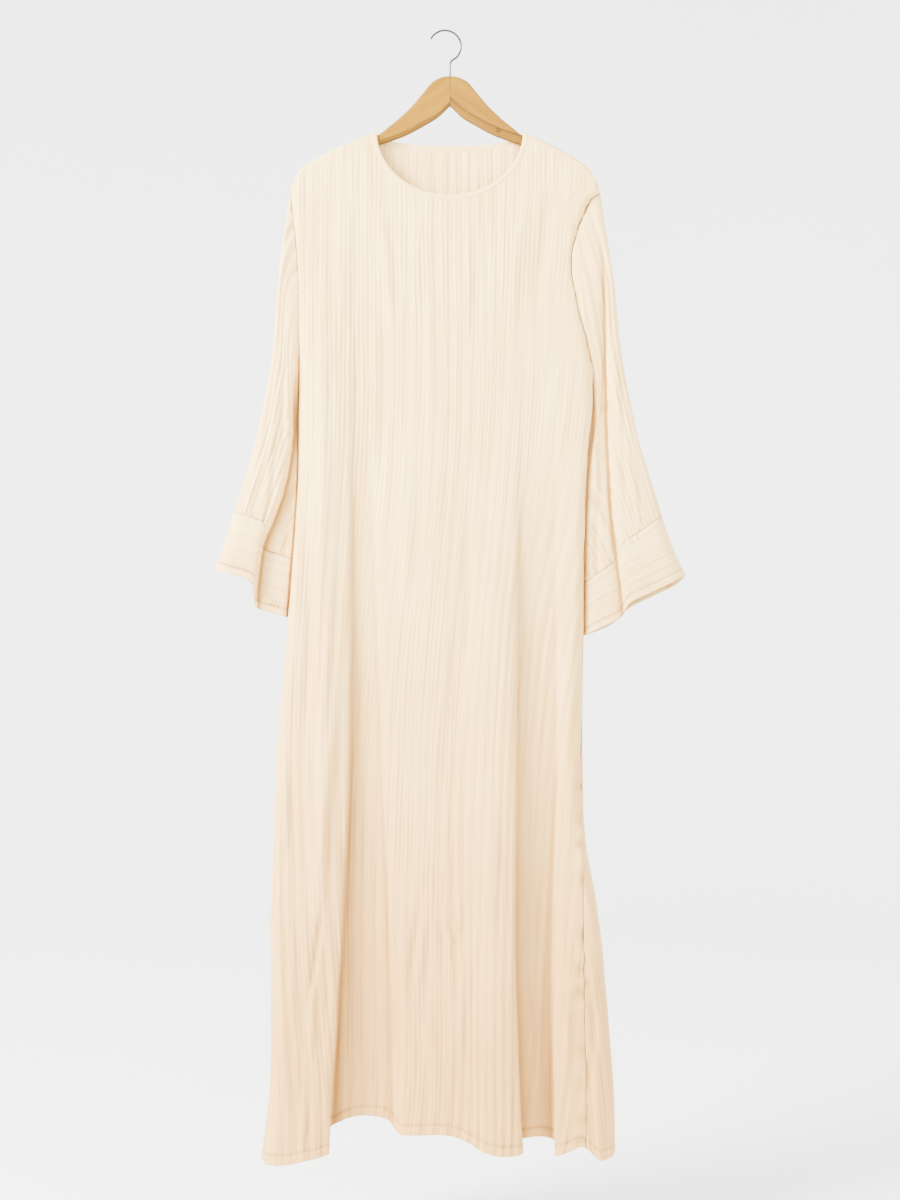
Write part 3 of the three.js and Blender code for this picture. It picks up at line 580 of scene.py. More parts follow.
def body_place(t, down):
    """A place on the body's loop before it is folded: t runs 0 to 1 over the front from left to right, and
    1 to 2 back. Over the right armhole's curve the front closes up."""
    front = t <= 1
    left, right = edge_x(-1, front, down), edge_x(1, False, down)
    turn = curve(DEPTH["down"], DEPTH["turn"], down)
    depth = np.where(front, *(curve(DEPTH["down"], DEPTH[side], down) for side in ("front", "back")))
    start, flat = half_loop(np.where(front, t, 2 - t), right - left, turn, armhole("half", down) / depth)
    x = left + start
    closed = (right - edge_x(1, front, down)) * smooth((x - GRAIN_FROM) / (right - GRAIN_FROM))
    return x - closed, front, flat


def body_point(t, down):
    """A point of the body's loop, folded."""
    x, front, flat = body_place(t, down)
    return body_at(x, down, front, flat)


def hem_level(t):
    """The hem's level below the neck points, from its table for the front or the back."""
    x, front, _ = body_place(t, HEM_LEVEL)
    tables = (curve(hem["x"], hem["down"], x) for hem in (FRONT_HEM, BACK_HEM))
    return np.where(front, *tables)


def evenly(row):
    """Turns shares of a line's length into shares of its parameter."""
    shares = np.linspace(0, 1, EVEN_STEPS)
    lengths = np.concatenate([[0], np.cumsum(length(np.diff(row(shares), axis=0)))])
    return lambda share: np.interp(share * lengths[-1], lengths, shares)


def panel_middle(front, u, v):
    """The middle surface of a panel: u is its share from left to right as seen from outside, and v is 0 at
    its top edge, 1 level with the armholes' ends and 2 at the hem."""
    trim = SEAM_TOUCH / 2 / PANEL_WIDE

    def on_loop(share, down):
        seam = curve(OUTLINE["down"], OUTLINE["seam"], down)
        if front:
            return lerp(trim, seam - trim, share)
        return lerp(1 + trim, 2 - trim, share) - (1 - seam) * smooth(1 - share / BACK_FAN)

    high, low = (evenly(lambda s, d=d: body_point(on_loop(s, d), d)) for d in (ARMHOLE_END, HEM_LEVEL))
    upper = ARMHOLE_END / HEM_LEVEL
    weight = np.where(v < 1, v * upper, lerp(upper, 1, v - 1))
    share = lerp(high(u), low(u), weight)
    top = np.full(share.shape, float(ARMHOLE_TOP))
    # Each round brings the top edge half of the way to the neckline or the shoulder line there.
    for _ in range(TOP_ROUNDS):
        x = body_point(on_loop(share, top), top)[..., 0]
        top = lerp(top, neck_edge(x, front, NECK_TUCK), 0.5)
    hem = hem_level(on_loop(share, HEM_LEVEL))
    down = np.where(v < 1, lerp(top, ARMHOLE_END, clamp01(v)), lerp(ARMHOLE_END, hem, v - 1))
    points = body_point(on_loop(share, down), down)
    on_top = 1 - smooth((down - shoulder(points[..., 0])) / ARM_ROUND)
    points[..., 1] += (-1 if front else 1) * on_top * SEAM_GAP / 2
    return points, hem - down


# The sleeves' shape

def sleeve_plain(sleeve, u, at, front):
    """A sleeve's tube before its head joins the armhole: a flat loop between its inner and outer lines,
    whose outer flap hangs in front of its inner flute along the fold."""
    lines = sleeve["lines"]
    names = ("inner", "inner_down", "outer", "outer_down", "depth")
    inner, inner_down, outer, outer_down, depth = (curve(lines["at"], lines[name], at) for name in names)
    width = np.hypot(outer - inner, outer_down - inner_down)
    start, flat = half_loop(np.where(front, 2 * u, 2 - 2 * u), width, np.minimum(depth, width / 4))
    share = start / width
    bare, level = lerp(inner, outer, share), lerp(inner_down, outer_down, share)
    strength = smooth((level - sleeve["starts"]) / (sleeve["full"] - sleeve["starts"]))
    middle = curve(sleeve["fold"]["down"], sleeve["fold"]["edge"], level)
    s = (bare - middle - 0.5 * sleeve["lap"] * strength) / sleeve["width"]
    behind = 0.5 * (1 - np.tanh(s))
    fold = np.where(front, strength * flat, 0)
    drop = sleeve["drop"] * strength
    grown = smooth((at - BULGE_STARTS) / BULGE_GROWS)
    bulge = lerp(*SLEEVE_BULGE, smooth(at)) * flat * bell(share / BULGE_SPREAD) * grown
    return {
        "share": share,
        "x": bare - lapped(sleeve["lap"], fold, s) - np.where(front, 0, bulge),
        "out": depth * flat - sleeve["step"] * fold * behind,
        "down": lerp(inner_down - drop, outer_down, share)
        + drop * behind
        + np.where(front, 0, sleeve["back_drop"] * flat * clamp01(at - 1)),
    }


def sleeve_middle(sleeve, u, at):
    """A sleeve's middle surface, drawn as a right one: u runs 0 to 0.5 over the front from the inner line to
    the outer one and back, and `at` is 0 at the armhole, 1 at the cuff seam and 2 at the cuff's edge."""
    u, at = np.broadcast_arrays(u % 1, at)
    front = u < 0.5
    here = sleeve_plain(sleeve, u, at, front)
    start = sleeve_plain(sleeve, u, 0 * at, front)
    seam_down = lerp(ARMHOLE_END, ARMHOLE_TOP, start["share"])
    away = (1 - clamp01(at / SLEEVE_HEAD)) ** 2
    underarm = UNDERARM_CLEAR * bell(start["share"] / 0.12)
    seam_x = edge_x(sleeve["side"], front, seam_down) * sleeve["side"] + underarm + HEAD_GAP
    x = here["x"] + away * (seam_x - start["x"])
    out = here["out"] + away * (armhole("half", seam_down) - start["out"])
    down = here["down"] + away * (seam_down - start["down"])
    return np.stack([x, np.where(front, -out, out), NECK_Z - down], -1)


def sleeve_grain(sleeve, u, at):
    """Which way the cloth's grain runs on a sleeve: between the directions of its inner and outer lines."""
    lines = sleeve["lines"]

    def along(x, down):
        ends = [curve(lines["at"], lines[name], at + shift) for name in (x, down) for shift in (-0.02, 0.02)]
        return unit(np.stack([ends[1] - ends[0], 0 * at, ends[2] - ends[3]], -1))

    outwards = np.minimum(2 * u, 2 - 2 * u)[..., None]
    return unit(lerp(along("inner", "inner_down"), along("outer", "outer_down"), outwards))


# Relief in the cloth

def across_grain(points, grain):
    """How far each point of a row lies from its first, leaving out what runs along the grain."""
    step = np.diff(points, axis=1)
    middle = np.broadcast_to(grain, points.shape)
    middle = 0.5 * (middle[:, 1:] + middle[:, :-1])
    step = step - np.sum(step * middle, -1, keepdims=True) * middle
    return np.concatenate([np.zeros((len(points), 1)), np.cumsum(length(step), axis=1)], axis=1)


def crinkle(across, along, pitch, height, seed, soft_share=0.8):
    """The crinkle's pleats: a sine across the grain whose phase wanders and whose strength comes and goes,
    with narrow crests, on softer waves three pleats wide. Each noise is divided by its lumps' width and
    length in millimetres."""
    wander = 2.4 * noise(across / 38, along / 150, seed) + 1.1 * noise(across / 12, along / 70, seed + 1)
    wave = 0.5 + 0.5 * np.sin(2 * np.pi * across / pitch + wander)
    strength = 0.62 + 0.5 * noise(across / 15, along / 90, seed + 2)
    soft = np.sin(2 * np.pi * across / (2.9 * pitch) + 2.8 * noise(across / 60, along / 320, seed + 3))
    soft_strength = soft_share * (0.75 + 0.6 * noise(across / 55, along / 360, seed + 4))
    fine = noise(across / (0.45 * pitch), along / 45, seed + 5)
    return height * (strength * (wave**1.5 - 0.4) + 0.7 * soft_strength * soft + 0.3 * fine)


def crease_height(creases, x, down):
    """Soft ridges or troughs along short bowed lines: a bell across each, with a weaker one of the other
    sign beside it, fading towards both ends."""
    height = 0
    for crease in creases:
        run = np.array([crease["x1"] - crease["x0"], crease["down1"] - crease["down0"]], float)
        reach = np.hypot(*run)
        ahead = run / reach
        dx, dd = x - crease["x0"], down - crease["down0"]
        t = (dx * ahead[0] + dd * ahead[1]) / reach
        aside = (dx * ahead[1] - dd * ahead[0] - 4 * crease["bow"] * t * (1 - t)) / crease["width"]
        fade = smooth(t / 0.35) * smooth((1 - t) / 0.35)
        height = height + 1.5 * crease["rise"] * fade * (bell(aside) - 0.45 * bell(aside - 1.6))
    return height


def fold_shade(folds, x, down):
    """How much a place lies in the shade of a fold's flap, 0 to 1: most beside the flap's edge, less away
    from it on its lower side."""
    shade = 0
    for fold in folds:
        strength = fold_strength(fold, down)
        beside = (x - fold_line(fold, down)) * -fold["side"]
        aside = np.maximum(beside, 0)
        near = 0.5 * bell(aside / 5) + 0.6 * bell(aside / 15)
        shade = shade + strength**0.7 * (fold["step"] / 45) ** 0.5 * near * smooth((beside + 4) / 6)
    return shade


def puckers(away, along, pitch, height, reach, seed):
    """Small gathers that run in from a seam and die out over `reach`."""
    phase = 2 * np.pi * along / pitch + 3.2 * noise(along / (2.1 * pitch), 0 * along, seed)
    strength = 0.6 + 0.6 * noise(along / (3.3 * pitch), 0 * along, seed + 1)
    return height * strength * np.sin(phase) * bell(away / reach)


def seam_dip(away):
    """How the cloth turns in at a seam."""
    return -0.75 * bell(away / 1.5)


def hem_relief(above, across, stitch, seed):
    """A turned hem: a groove along its stitching, a fuller band below it, and small waves at its edge."""
    groove = -0.9 * bell((above - stitch) / 2) * (1 + 0.4 * noise(across / 5, 0 * across, seed))
    band = 0.45 * smooth((stitch - above) / 3)
    pull = 0.5 * puckers(above - stitch, across, 7.5, 1.0, 7, seed + 1)
    waves = noise(across / 17, 0 * across, seed + 3) * 1.5 * smooth(1 - above / 55)
    return groove + band + pull + waves


# Meshes

def make_piece(name, points, faces, uvs=None, sharp=None, shade=None):
    """A mesh piece from points in millimetres and arrays of faces, each array with one number of corners.
    `uvs` holds one pair for each face's corner, in metres, `sharp` marks faces that are shaded flat, and
    `shade` says for each point how much painted shade its colour takes, most deep in a fold; on the wood it
    also holds a dark line at the joint."""
    mesh = bpy.data.meshes.new(name)
    mesh.vertices.add(len(points))
    mesh.vertices.foreach_set("co", (np.asarray(points, np.float32) * MM).ravel())
    sizes = np.concatenate([np.full(len(group), group.shape[1]) for group in faces])
    corners = np.concatenate([group.ravel() for group in faces])
    mesh.loops.add(len(corners))
    mesh.loops.foreach_set("vertex_index", corners.astype(np.int32))
    mesh.polygons.add(len(sizes))
    starts = np.concatenate([[0], np.cumsum(sizes)[:-1]])
    mesh.polygons.foreach_set("loop_start", starts.astype(np.int32))
    flat = np.zeros(len(sizes), bool) if sharp is None else sharp
    mesh.polygons.foreach_set("use_smooth", ~flat)
    if uvs is not None:
        layer = mesh.uv_layers.new(name="UVMap")
        layer.data.foreach_set("uv", np.asarray(uvs, np.float32).ravel())
    if shade is not None:
        layer = mesh.attributes.new("shade", "FLOAT", "POINT")
        layer.data.foreach_set("value", np.asarray(shade, np.float32).ravel())
    mesh.update(calc_edges=True)
    mesh.validate()
    piece = bpy.data.objects.new(name, mesh)
    bpy.context.collection.objects.link(piece)
    return piece


def grid_normals(points, ring):
    """Outward normals of a grid seen from outside with its columns running right and its rows down: the
    cross product of the way down and the way right, each from the neighbours on both sides."""
    if ring:
        right = np.roll(points, -1, 1) - np.roll(points, 1, 1)
    else:
        right = np.gradient(points, axis=1)
    return unit(np.cross(np.gradient(points, axis=0), right))


def shell(name, outer, inner, uv, shade, ring=False):
    """A thin closed wall between two grids of points. A ring's columns meet, and `uv` has one column more."""
    rows, count = outer.shape[:2]
    r, c = np.meshgrid(np.arange(rows - 1), np.arange(count if ring else count - 1), indexing="ij")
    r, c = r.ravel(), c.ravel()

    def corners(skin, row, column):
        return np.stack(np.broadcast_arrays(skin, row, column), -1)

    def quads(*spots):
        return np.stack([corners(*spot) for spot in spots], 1)

    first, last = np.unique(c), np.unique(r)
    parts = [
        quads((0, r, c), (0, r + 1, c), (0, r + 1, c + 1), (0, r, c + 1)),
        quads((1, r, c), (1, r, c + 1), (1, r + 1, c + 1), (1, r + 1, c)),
    ]
    end = rows - 1
    parts.append(quads((0, 0, first), (0, 0, first + 1), (1, 0, first + 1), (1, 0, first)))
    parts.append(quads((0, end, first), (1, end, first), (1, end, first + 1), (0, end, first + 1)))
    if not ring:
        side = count - 1
        parts.append(quads((0, last, 0), (1, last, 0), (1, last + 1, 0), (0, last + 1, 0)))
        parts.append(quads((0, last, side), (0, last + 1, side), (1, last + 1, side), (1, last, side)))
    spots = np.concatenate(parts)
    index = spots[..., 0] * rows * count + spots[..., 1] * count + spots[..., 2] % count
    sharp = np.zeros(len(spots), bool)
    sharp[2 * len(r) :] = True
    points = np.concatenate([outer.reshape(-1, 3), inner.reshape(-1, 3)])
    # The inner skin of a sleeve or cuff takes 0.45 more painted shade, for the shade inside the tube.
    shades = clamp01(np.stack([shade, shade + (0.45 if ring else 0)]))
    return make_piece(name, points, [index], uv[spots[..., 1], spots[..., 2]] * MM, sharp, shades)


def loop_quads(loops, around, closed=False):
    """Quads between loops of `around` points each, listed one after another. With `closed`, the last loop
    joins the first."""
    k, s = np.meshgrid(np.arange(loops if closed else loops - 1), np.arange(around), indexing="ij")
    k, s = k.ravel(), s.ravel()
    after, next_k = (s + 1) % around, (k + 1) % loops
    return np.stack([k * around + s, next_k * around + s, next_k * around + after, k * around + after], 1)


def fan(centre, first, around):
    """Triangles from a centre point to the loop of points that starts at `first`."""
    s = np.arange(around)
    return np.stack([np.full(around, centre), first + s, first + (s + 1) % around], 1)


def tube(name, path, radius, sides=20):
    """A round rod in the middle plane along a path, its circles square to the path, closed at both ends."""
    ahead = unit(np.gradient(path, axis=0))
    flat = np.stack([ahead[:, 2], 0 * ahead[:, 1], -ahead[:, 0]], -1)
    angle = np.linspace(0, 2 * np.pi, sides, endpoint=False)[None, :, None]
    ring = flat[:, None] * np.cos(angle) + np.array([0.0, 1, 0]) * np.sin(angle)
    points = path[:, None] + radius[:, None, None] * ring
    end = len(path) * sides
    caps = np.concatenate([fan(end, 0, sides), fan(end + 1, end - sides, sides)[:, [0, 2, 1]]])
    faces = [loop_quads(len(path), sides), caps]
    return make_piece(name, np.concatenate([points.reshape(-1, 3), path[[0, -1]]]), faces)


def stitch_row(name, line, normals, pitch, size, sink=0.12):
    """A row of stitches along a line on the cloth: each is a small rounded bar of `size` (long, wide, high),
    set at even steps of the line's length."""
    steps = np.concatenate([[0], np.cumsum(length(np.diff(line, axis=0)))])
    places = np.arange(pitch, steps[-1] - pitch, pitch)

    def along(values, at):
        return np.stack([np.interp(at, steps, values[:, k]) for k in range(3)], -1)

    middle, normal = along(line, places), unit(along(normals, places))
    ahead = unit(along(line, places + 0.5) - along(line, places - 0.5))
    beside = np.cross(normal, ahead)
    angle = np.linspace(0, 2 * np.pi, BAR_SIDES, endpoint=False)
    bar = [(-0.5, 0, 0)]
    bar += [(station, 0.5 * np.cos(a), 0.5 * np.sin(a)) for station in (-0.33, 0.33) for a in angle]
    bar += [(0.5, 0, 0)]
    bar = np.array(bar) * size
    points = (
        (middle - sink * normal)[:, None]
        + bar[None, :, :1] * ahead[:, None]
        + bar[None, :, 1:2] * beside[:, None]
        + bar[None, :, 2:] * normal[:, None]
    )
    last = len(bar) - 1
    quads = (1 + loop_quads(2, BAR_SIDES))[:, ::-1]
    first_end, last_end = fan(0, 1, BAR_SIDES), fan(last, last - BAR_SIDES, BAR_SIDES)[:, [0, 2, 1]]
    ends = np.concatenate([first_end, last_end])[:, ::-1]
    base = (np.arange(len(places)) * len(bar))[:, None, None]
    faces = [(base + quads).reshape(-1, 4), (base + ends).reshape(-1, 3)]
    return make_piece(name, points.reshape(-1, 3), faces)


# Cloth surfaces, each worked out once

@lru_cache(maxsize=None)
def panel_surface(front, pitch, height):
    """A panel's outer skin with its relief, its normals, its cloth coordinates, how much of it lies in
    shade, and its row at the hem's stitching."""
    hem_rows = [2 - mm / (HEM_LEVEL - ARMHOLE_END) for mm in HEM_ROWS]
    levels = [mm / ARMHOLE_END for mm in RIDGE_ROWS]
    levels += list(lerp(levels[-1], 1, np.linspace(0, 1, 45)[1:] ** 1.25))
    levels += list(np.linspace(1, hem_rows[0], 68)[1:-1]) + hem_rows
    u, v = np.meshgrid(np.linspace(0, 1, PANEL_COLUMNS), levels)
    points, above = panel_middle(front, u, v)
    normals = grid_normals(points, False)
    x, down = points[..., 0], NECK_Z - points[..., 2]
    across = across_grain(points, np.array([0.0, 0, 1]))
    from_left, from_right = across, across[:, -1:] - across
    across -= across[:, PANEL_COLUMNS // 2][:, None]
    across = lerp(x if front else -x, across, smooth((down - 350) / 400))
    lean = 64 * smooth(down / 1000) * smooth((x + 10) / 170) if front else 0
    seed = 100 if front else 200
    height_map = crinkle(across + lean, down, pitch, height, seed)
    height_map *= lerp(0.75, 1.1, smooth(down / HEM_LEVEL))
    creases = crease_height(FRONT_CREASES if front else BACK_CREASES, x, down)
    # Painted shade for the cloth's colour: beside the folds' flaps, in the crinkle's troughs and along the
    # creases' troughs.
    shade = fold_shade(FRONT_FOLDS if front else BACK_FOLDS, x, down)
    shade += 0.35 * clamp01(-height_map / height) ** 1.5 + 0.5 * clamp01(-creases / 4.5) ** 1.3
    height_map += creases
    height_map *= smooth((down - shoulder(x)) / 25) * 0.75 + 0.25
    left_seam, right_seam = (from_left, from_right) if front else (from_right, from_left)
    for away, step in ((left_seam, 10), (right_seam, 20)):
        height_map += seam_dip(away) + puckers(away, down, 17, 0.8, 9, step)
    bumps = puckers(right_seam - 4, down, 34, 5.5, 13, 30) * smooth((down - 880) / 200)
    height_map += bumps
    # Painted shade in the hollows of the puckers along the right side seam.
    shade += 0.8 * clamp01(-bumps / 4)
    height_map += hem_relief(above, across, HEM_STITCH, seed + 40)
    # Painted shade: a dark line along the right side seam's crevice from 0.7 m down, and along the hem's
    # stitching groove.
    seam_shade_line = 0.6 * bell(right_seam / 1.2) * smooth((down - 700) / 300)
    shade += 0.5 * bell((above - HEM_STITCH) / 1.6) + seam_shade_line
    if front:
        over = down - shoulder(x)
        height_map -= 0.6 * bell((over - 8) / 1.3) * smooth((x - 118) / 12)
    outer = points + normals * (CLOTH_OUT + height_map)[..., None]
    return outer, normals, np.stack([across + lean, down], -1), shade, levels.index(hem_rows[4])


def close_ring(values):
    """The grid with its first column again at its end."""
    return np.concatenate([values, values[:, :1]], axis=1)


def to_side(side, points):
    """A grid drawn as on the right sleeve, put on its own side, still running right as seen from outside."""
    if side > 0:
        return points
    return (points * [-1, 1, 1])[:, ::-1]


def underarm_fade(away):
    """Relief dies out towards the underarm seam, where both edges of the tube meet."""
    return 1 - bell(away / 5)


@lru_cache(maxsize=None)
def sleeve_surface(name, part, pitch, height):
    """The outer skin of a sleeve or a cuff with its relief, its normals, its cloth coordinates, its shade
    and its row at the hem's stitching."""
    sleeve = SLEEVES[name]
    cuff = part == "cuff"
    columns_at = (np.arange(SLEEVE_COLUMNS) + 0.5) / SLEEVE_COLUMNS
    if cuff:
        hem = {1 - mm / CUFF_DEEP for mm in HEM_ROWS}
        rows = 1 + np.array(sorted(set(np.linspace(0.003, 1 - 24 / CUFF_DEEP, CUFF_ROWS)) | hem))
    else:
        rows = np.linspace(0.0009, 0.9991, SLEEVE_ROWS)
    u, at = np.meshgrid(columns_at, rows)
    points = sleeve_middle(sleeve, u, at)
    normals = grid_normals(points, True)
    around = close_ring(points)
    ring_u = np.concatenate([u, u[:, :1] + 1], axis=1)
    ring_at = close_ring(at)
    x, down = around[..., 0], NECK_Z - around[..., 2]
    across = across_grain(around, sleeve_grain(sleeve, ring_u, ring_at))
    whole = across[:, -1:]
    from_underarm = np.minimum(across, whole - across)
    across = across - across[:, SLEEVE_COLUMNS // 2][:, None]
    seed = {"right": 300, "left": 400}[name] + (50 if cuff else 0)
    on_front = np.where((ring_u % 1) < 0.5, 1.0, 0.55)
    if cuff:
        along = (ring_at - 1) * CUFF_DEEP
        above = CUFF_DEEP - along
        wander = 1.5 * noise(across / 40, along / 40, seed + 7)
        relief = crinkle(along + wander, across, 1.32 * pitch, 0.8 * height, seed, 0.25)
        relief += hem_relief(above, across, CUFF_STITCH, seed + 20)
        relief += seam_dip(along) + puckers(along, across, 10, 0.7, 8, seed + 30)
        cloth = np.stack([along, across], -1)
        # Painted shade in the cuff crinkle's troughs and along its hem's stitching groove.
        shade = 0.35 * clamp01(-relief / height) + 0.5 * bell((above - CUFF_STITCH) / 1.6)
    else:
        relief = crinkle(across, down, pitch, height, seed)
        creases = crease_height(SLEEVE_CREASES[name], x, down) * on_front
        # Painted shade in the crinkle's troughs and along the creases' troughs.
        shade = 0.35 * clamp01(-relief / height) ** 1.5 + 0.5 * clamp01(-creases / 4.5) ** 1.3
        relief += creases
        to_cuff = (1 - ring_at) * 380
        to_armhole = ring_at * 300
        relief += seam_dip(to_cuff) + puckers(to_cuff, across, 9, 0.9, 13, seed + 30)
        relief += seam_dip(to_armhole) + puckers(to_armhole, down, 14, 0.9, 9, seed + 31)
        cloth = np.stack([across, down], -1)
    relief *= underarm_fade(from_underarm)
    # Painted shade: on the front, beside the edge of the sleeve's flap; on the back, a band beside the
    # underarm seam, where the gap to the body lies in shadow.
    behind = curve(sleeve["fold"]["down"], sleeve["fold"]["edge"], down) - x
    aside = np.maximum(behind, 0)
    flap = smooth((down - sleeve["starts"]) / 130) * (0.95 * bell(aside / 4.5) + 0.45 * bell(aside / 15))
    shade += np.where((ring_u % 1) < 0.5, flap * smooth((behind + 1.5) / 3), 0.8 * bell(from_underarm / 8))
    outer = points + normals * (CLOTH_OUT + relief[:, :-1])[..., None]
    stitch = int(np.argmin(np.abs(rows - (2 - CUFF_STITCH / CUFF_DEEP))))
    shade = shade[:, :-1]
    if sleeve["side"] > 0:
        return outer, normals, cloth, shade, stitch
    return to_side(-1, outer), to_side(-1, normals), cloth[:, ::-1], shade[:, ::-1], stitch


def moved(points):
    """Garment points, moved under the hook's shank."""
    return points + [SHANK_X, 0, 0]


def cloth_shell(name, surface, thick, ring=False):
    """A piece of cloth: its outer skin, and an inner one behind it."""
    outer, normals, cloth, shade, _ = surface
    return shell(name, moved(outer), moved(outer - normals * thick), cloth, shade, ring)


@lru_cache(maxsize=None)
def binding_surface():
    """The binding round the neck: a flattened round section carried along the neckline, standing a little
    proud of the panels' edges, which it covers. Its first line is the neck's inner edge."""

    def half(count, ease):
        s = 2 * np.arange(count) / count
        return np.where(s <= 1, s**ease, 2 - (2 - s) ** ease) / 4

    places = np.concatenate([half(260, 2.2), half(240, 1.6) + 0.5])
    turn = np.linspace(0, 2 * np.pi, 18, endpoint=False)
    offset = BINDING / 2 * (1 - np.cos(turn) * 1.02)
    lift = 0.25 + 1.35 * np.sin(turn)

    def base(place, offset):
        angle = 2 * np.pi * place
        front = np.sin(angle) >= 0
        x = -(NECK_HALF + offset) * np.cos(angle)
        return body_at(x, neck_edge(x, front, offset), front, 1.0)

    place, offset = np.meshgrid(places, offset)
    around = base(place + 4e-4, offset) - base(place - 4e-4, offset)
    outwards = base(place, offset + 0.3) - base(place, offset - 0.3)
    normals = unit(np.cross(outwards, around))
    middle = base(place, offset)
    wobble = 0.16 * noise(place * 190, offset / 9, 500) + 0.1 * noise(place * 420, offset / 9, 501)
    points = middle + normals * (lift[:, None] * (1 + wobble) + 0.1)[..., None]
    run = np.concatenate([[0], np.cumsum(length(np.diff(middle[0], axis=0)))])
    return points, normals, run, np.argmin(np.abs(turn - 2.2))


# The hanger's surfaces

def arm_outline(side):
    """Stations along an arm and its upper and lower edges there: curves through the wood's tables as far as
    the garment's neck, then under the cloth, then a half-round end."""
    neck = WOOD_TOP["out"][-1]
    bend = HANGER_END - HANGER_TALL / 2

    def top(out):
        under_cloth = NECK_Z - shoulder(side * out) - HANGER_CLEAR
        return np.where(out <= neck, curve(WOOD_TOP["out"], WOOD_TOP["z"], out), under_cloth)

    def under(out):
        in_sight = curve(WOOD_UNDER["out"], WOOD_UNDER["z"], out)
        return np.where(out <= neck, in_sight, top(out) - HANGER_TALL)

    plain = np.concatenate([[0.03, 0.4, 0.9], np.linspace(1.5, neck, 78), np.linspace(neck, bend, 36)[1:]])
    angle = np.linspace(0, np.pi / 2, TIP_STATIONS + 1)[1:]
    middle, half = 0.5 * (top(bend) + under(bend)), HANGER_TALL / 2
    out = np.concatenate([plain, bend + half * np.sin(angle)])
    upper = np.concatenate([top(plain), middle + half * np.cos(angle)])
    lower = np.concatenate([under(plain), middle - half * np.cos(angle)])
    return out, upper, lower


def arm_piece(name, side):
    """One arm of the hanger: at each station a loop down the front and up the back. The section is rounded
    along its upper edges and bevelled along its lower ones, and the right arm's face is set back below a
    groove."""
    out, upper, lower = arm_outline(side)
    slope = np.gradient(0.5 * (upper + lower), out)
    square = 1 / np.sqrt(1 + slope**2)
    square[-TIP_STATIONS:] = square[-TIP_STATIONS - 1]
    share = 0.5 - 0.5 * np.cos(np.pi * np.arange(ARM_COLUMNS) / (ARM_COLUMNS - 1))
    tall = (upper - lower)[:, None]
    from_top = share * tall * square[:, None]
    from_under = (1 - share) * tall * square[:, None]
    edge = np.minimum(HANGER_EDGE, 0.5 * tall * square[:, None] + 1e-6)
    half = HANGER_THICK / 2
    rounded = round_off(from_top / edge)
    end = round_off((HANGER_END - out) / HANGER_EDGE)[:, None]
    back = half * rounded * round_off(from_under / edge) * end
    bevel = clamp01(0.42 + 0.58 * from_under / (1.15 * edge)) * round_off(from_under / 0.9)
    front = half * rounded * bevel * end
    # `dark` holds a dark line at the joint where the arms meet, and painted shade along the lower edge;
    # below, also painted shade on the left arm's bevel and in and below the right arm's groove.
    dark = bell(out[:, None] / 0.5) + 0.5 * smooth((1.4 - from_under) / 0.9)
    if side < 0:
        dark = dark + 0.45 * smooth((5.6 - from_under) / 0.8)
    if side > 0:
        over_groove = from_under / square[:, None] - GROOVE_OVER_EDGE
        reach = smooth((GROOVE_ENDS - out) / 8)[:, None]
        below = smooth(-over_groove / 0.7)
        front = front - reach * (0.8 * below + 1.1 * bell(over_groove / 0.6)) * rounded * end
        dark = dark + reach * (0.4 * below + 1.1 * bell(over_groove / 1.0))
    x = np.broadcast_to((side * out)[:, None], (len(out), ARM_COLUMNS))
    z = upper[:, None] - share * tall
    down_front = np.stack([x, -front, z], -1)
    up_back = np.stack([x, back, z], -1)[:, -2:0:-1]
    points = np.concatenate([down_front, up_back], axis=1)
    # The back takes half of the painted shade.
    dark = np.concatenate([dark, 0.5 * dark[:, -2:0:-1]], axis=1)
    around = points.shape[1]
    quads = loop_quads(len(out), around)[:, [0, 3, 2, 1]]
    last = len(out) * around
    cap, tip = fan(last, 0, around)[:, [0, 2, 1]], fan(last + 1, last - around, around)
    centres = np.array([points[0].mean(0), points[-1].mean(0)])
    faces = [quads, np.concatenate([cap, tip])]
    if side < 0:
        faces = [group[:, ::-1] for group in faces]
    flat = np.zeros(len(quads) + 2 * around, bool)
    flat[len(quads) : len(quads) + around] = True
    shade = np.append(clamp01(dark), [1, 0])
    points = moved(np.concatenate([points.reshape(-1, 3), centres]))
    return make_piece(name, points, faces, None, flat, shade)


def eyelet_piece(name):
    """A small ring let into the right arm's face round a shallow hole: its section is carried round an axis
    along Y. The section's table gives shares of the radius, and depths in millimetres."""
    section = columns(
        "out y",
        (0.02, 0.9),
        (0.55, 0.9),
        (0.62, 0.2),
        (0.68, -0.25),
        (0.8, -0.5),
        (0.94, -0.35),
        (1.02, 0.1),
        (1.02, 1.2),
        (0.02, 1.2),
    )
    sides = 28
    angle = np.linspace(0, 2 * np.pi, sides, endpoint=False)
    out = BAR_HOLE["radius"] * section["out"]
    x = BAR_HOLE["x"] + SHANK_X + out[:, None] * np.cos(angle)
    z = BAR_HOLE["z"] + out[:, None] * np.sin(angle)
    y = np.broadcast_to((section["y"] - HANGER_THICK / 2 + 0.5)[:, None], x.shape)
    quads = loop_quads(len(out), sides, closed=True)[:, ::-1]
    return make_piece(name, np.stack([x, y, z], -1).reshape(-1, 3), [quads])


# Shader helpers

def put(tree, kind, settings=None, **sockets):
    """Adds a node, sets its options, and links or sets its inputs by name."""
    made = tree.nodes.new(kind)
    for key, value in (settings or {}).items():
        setattr(made, key, value)
    for name, value in sockets.items():
        feed(tree, made.inputs[name.replace("_", " ")], value)
    return made


def feed(tree, socket, value):
    """Links a socket to another, or sets its value."""
    if isinstance(value, bpy.types.NodeSocket):
        tree.links.new(value, socket)
    else:
        socket.default_value = value


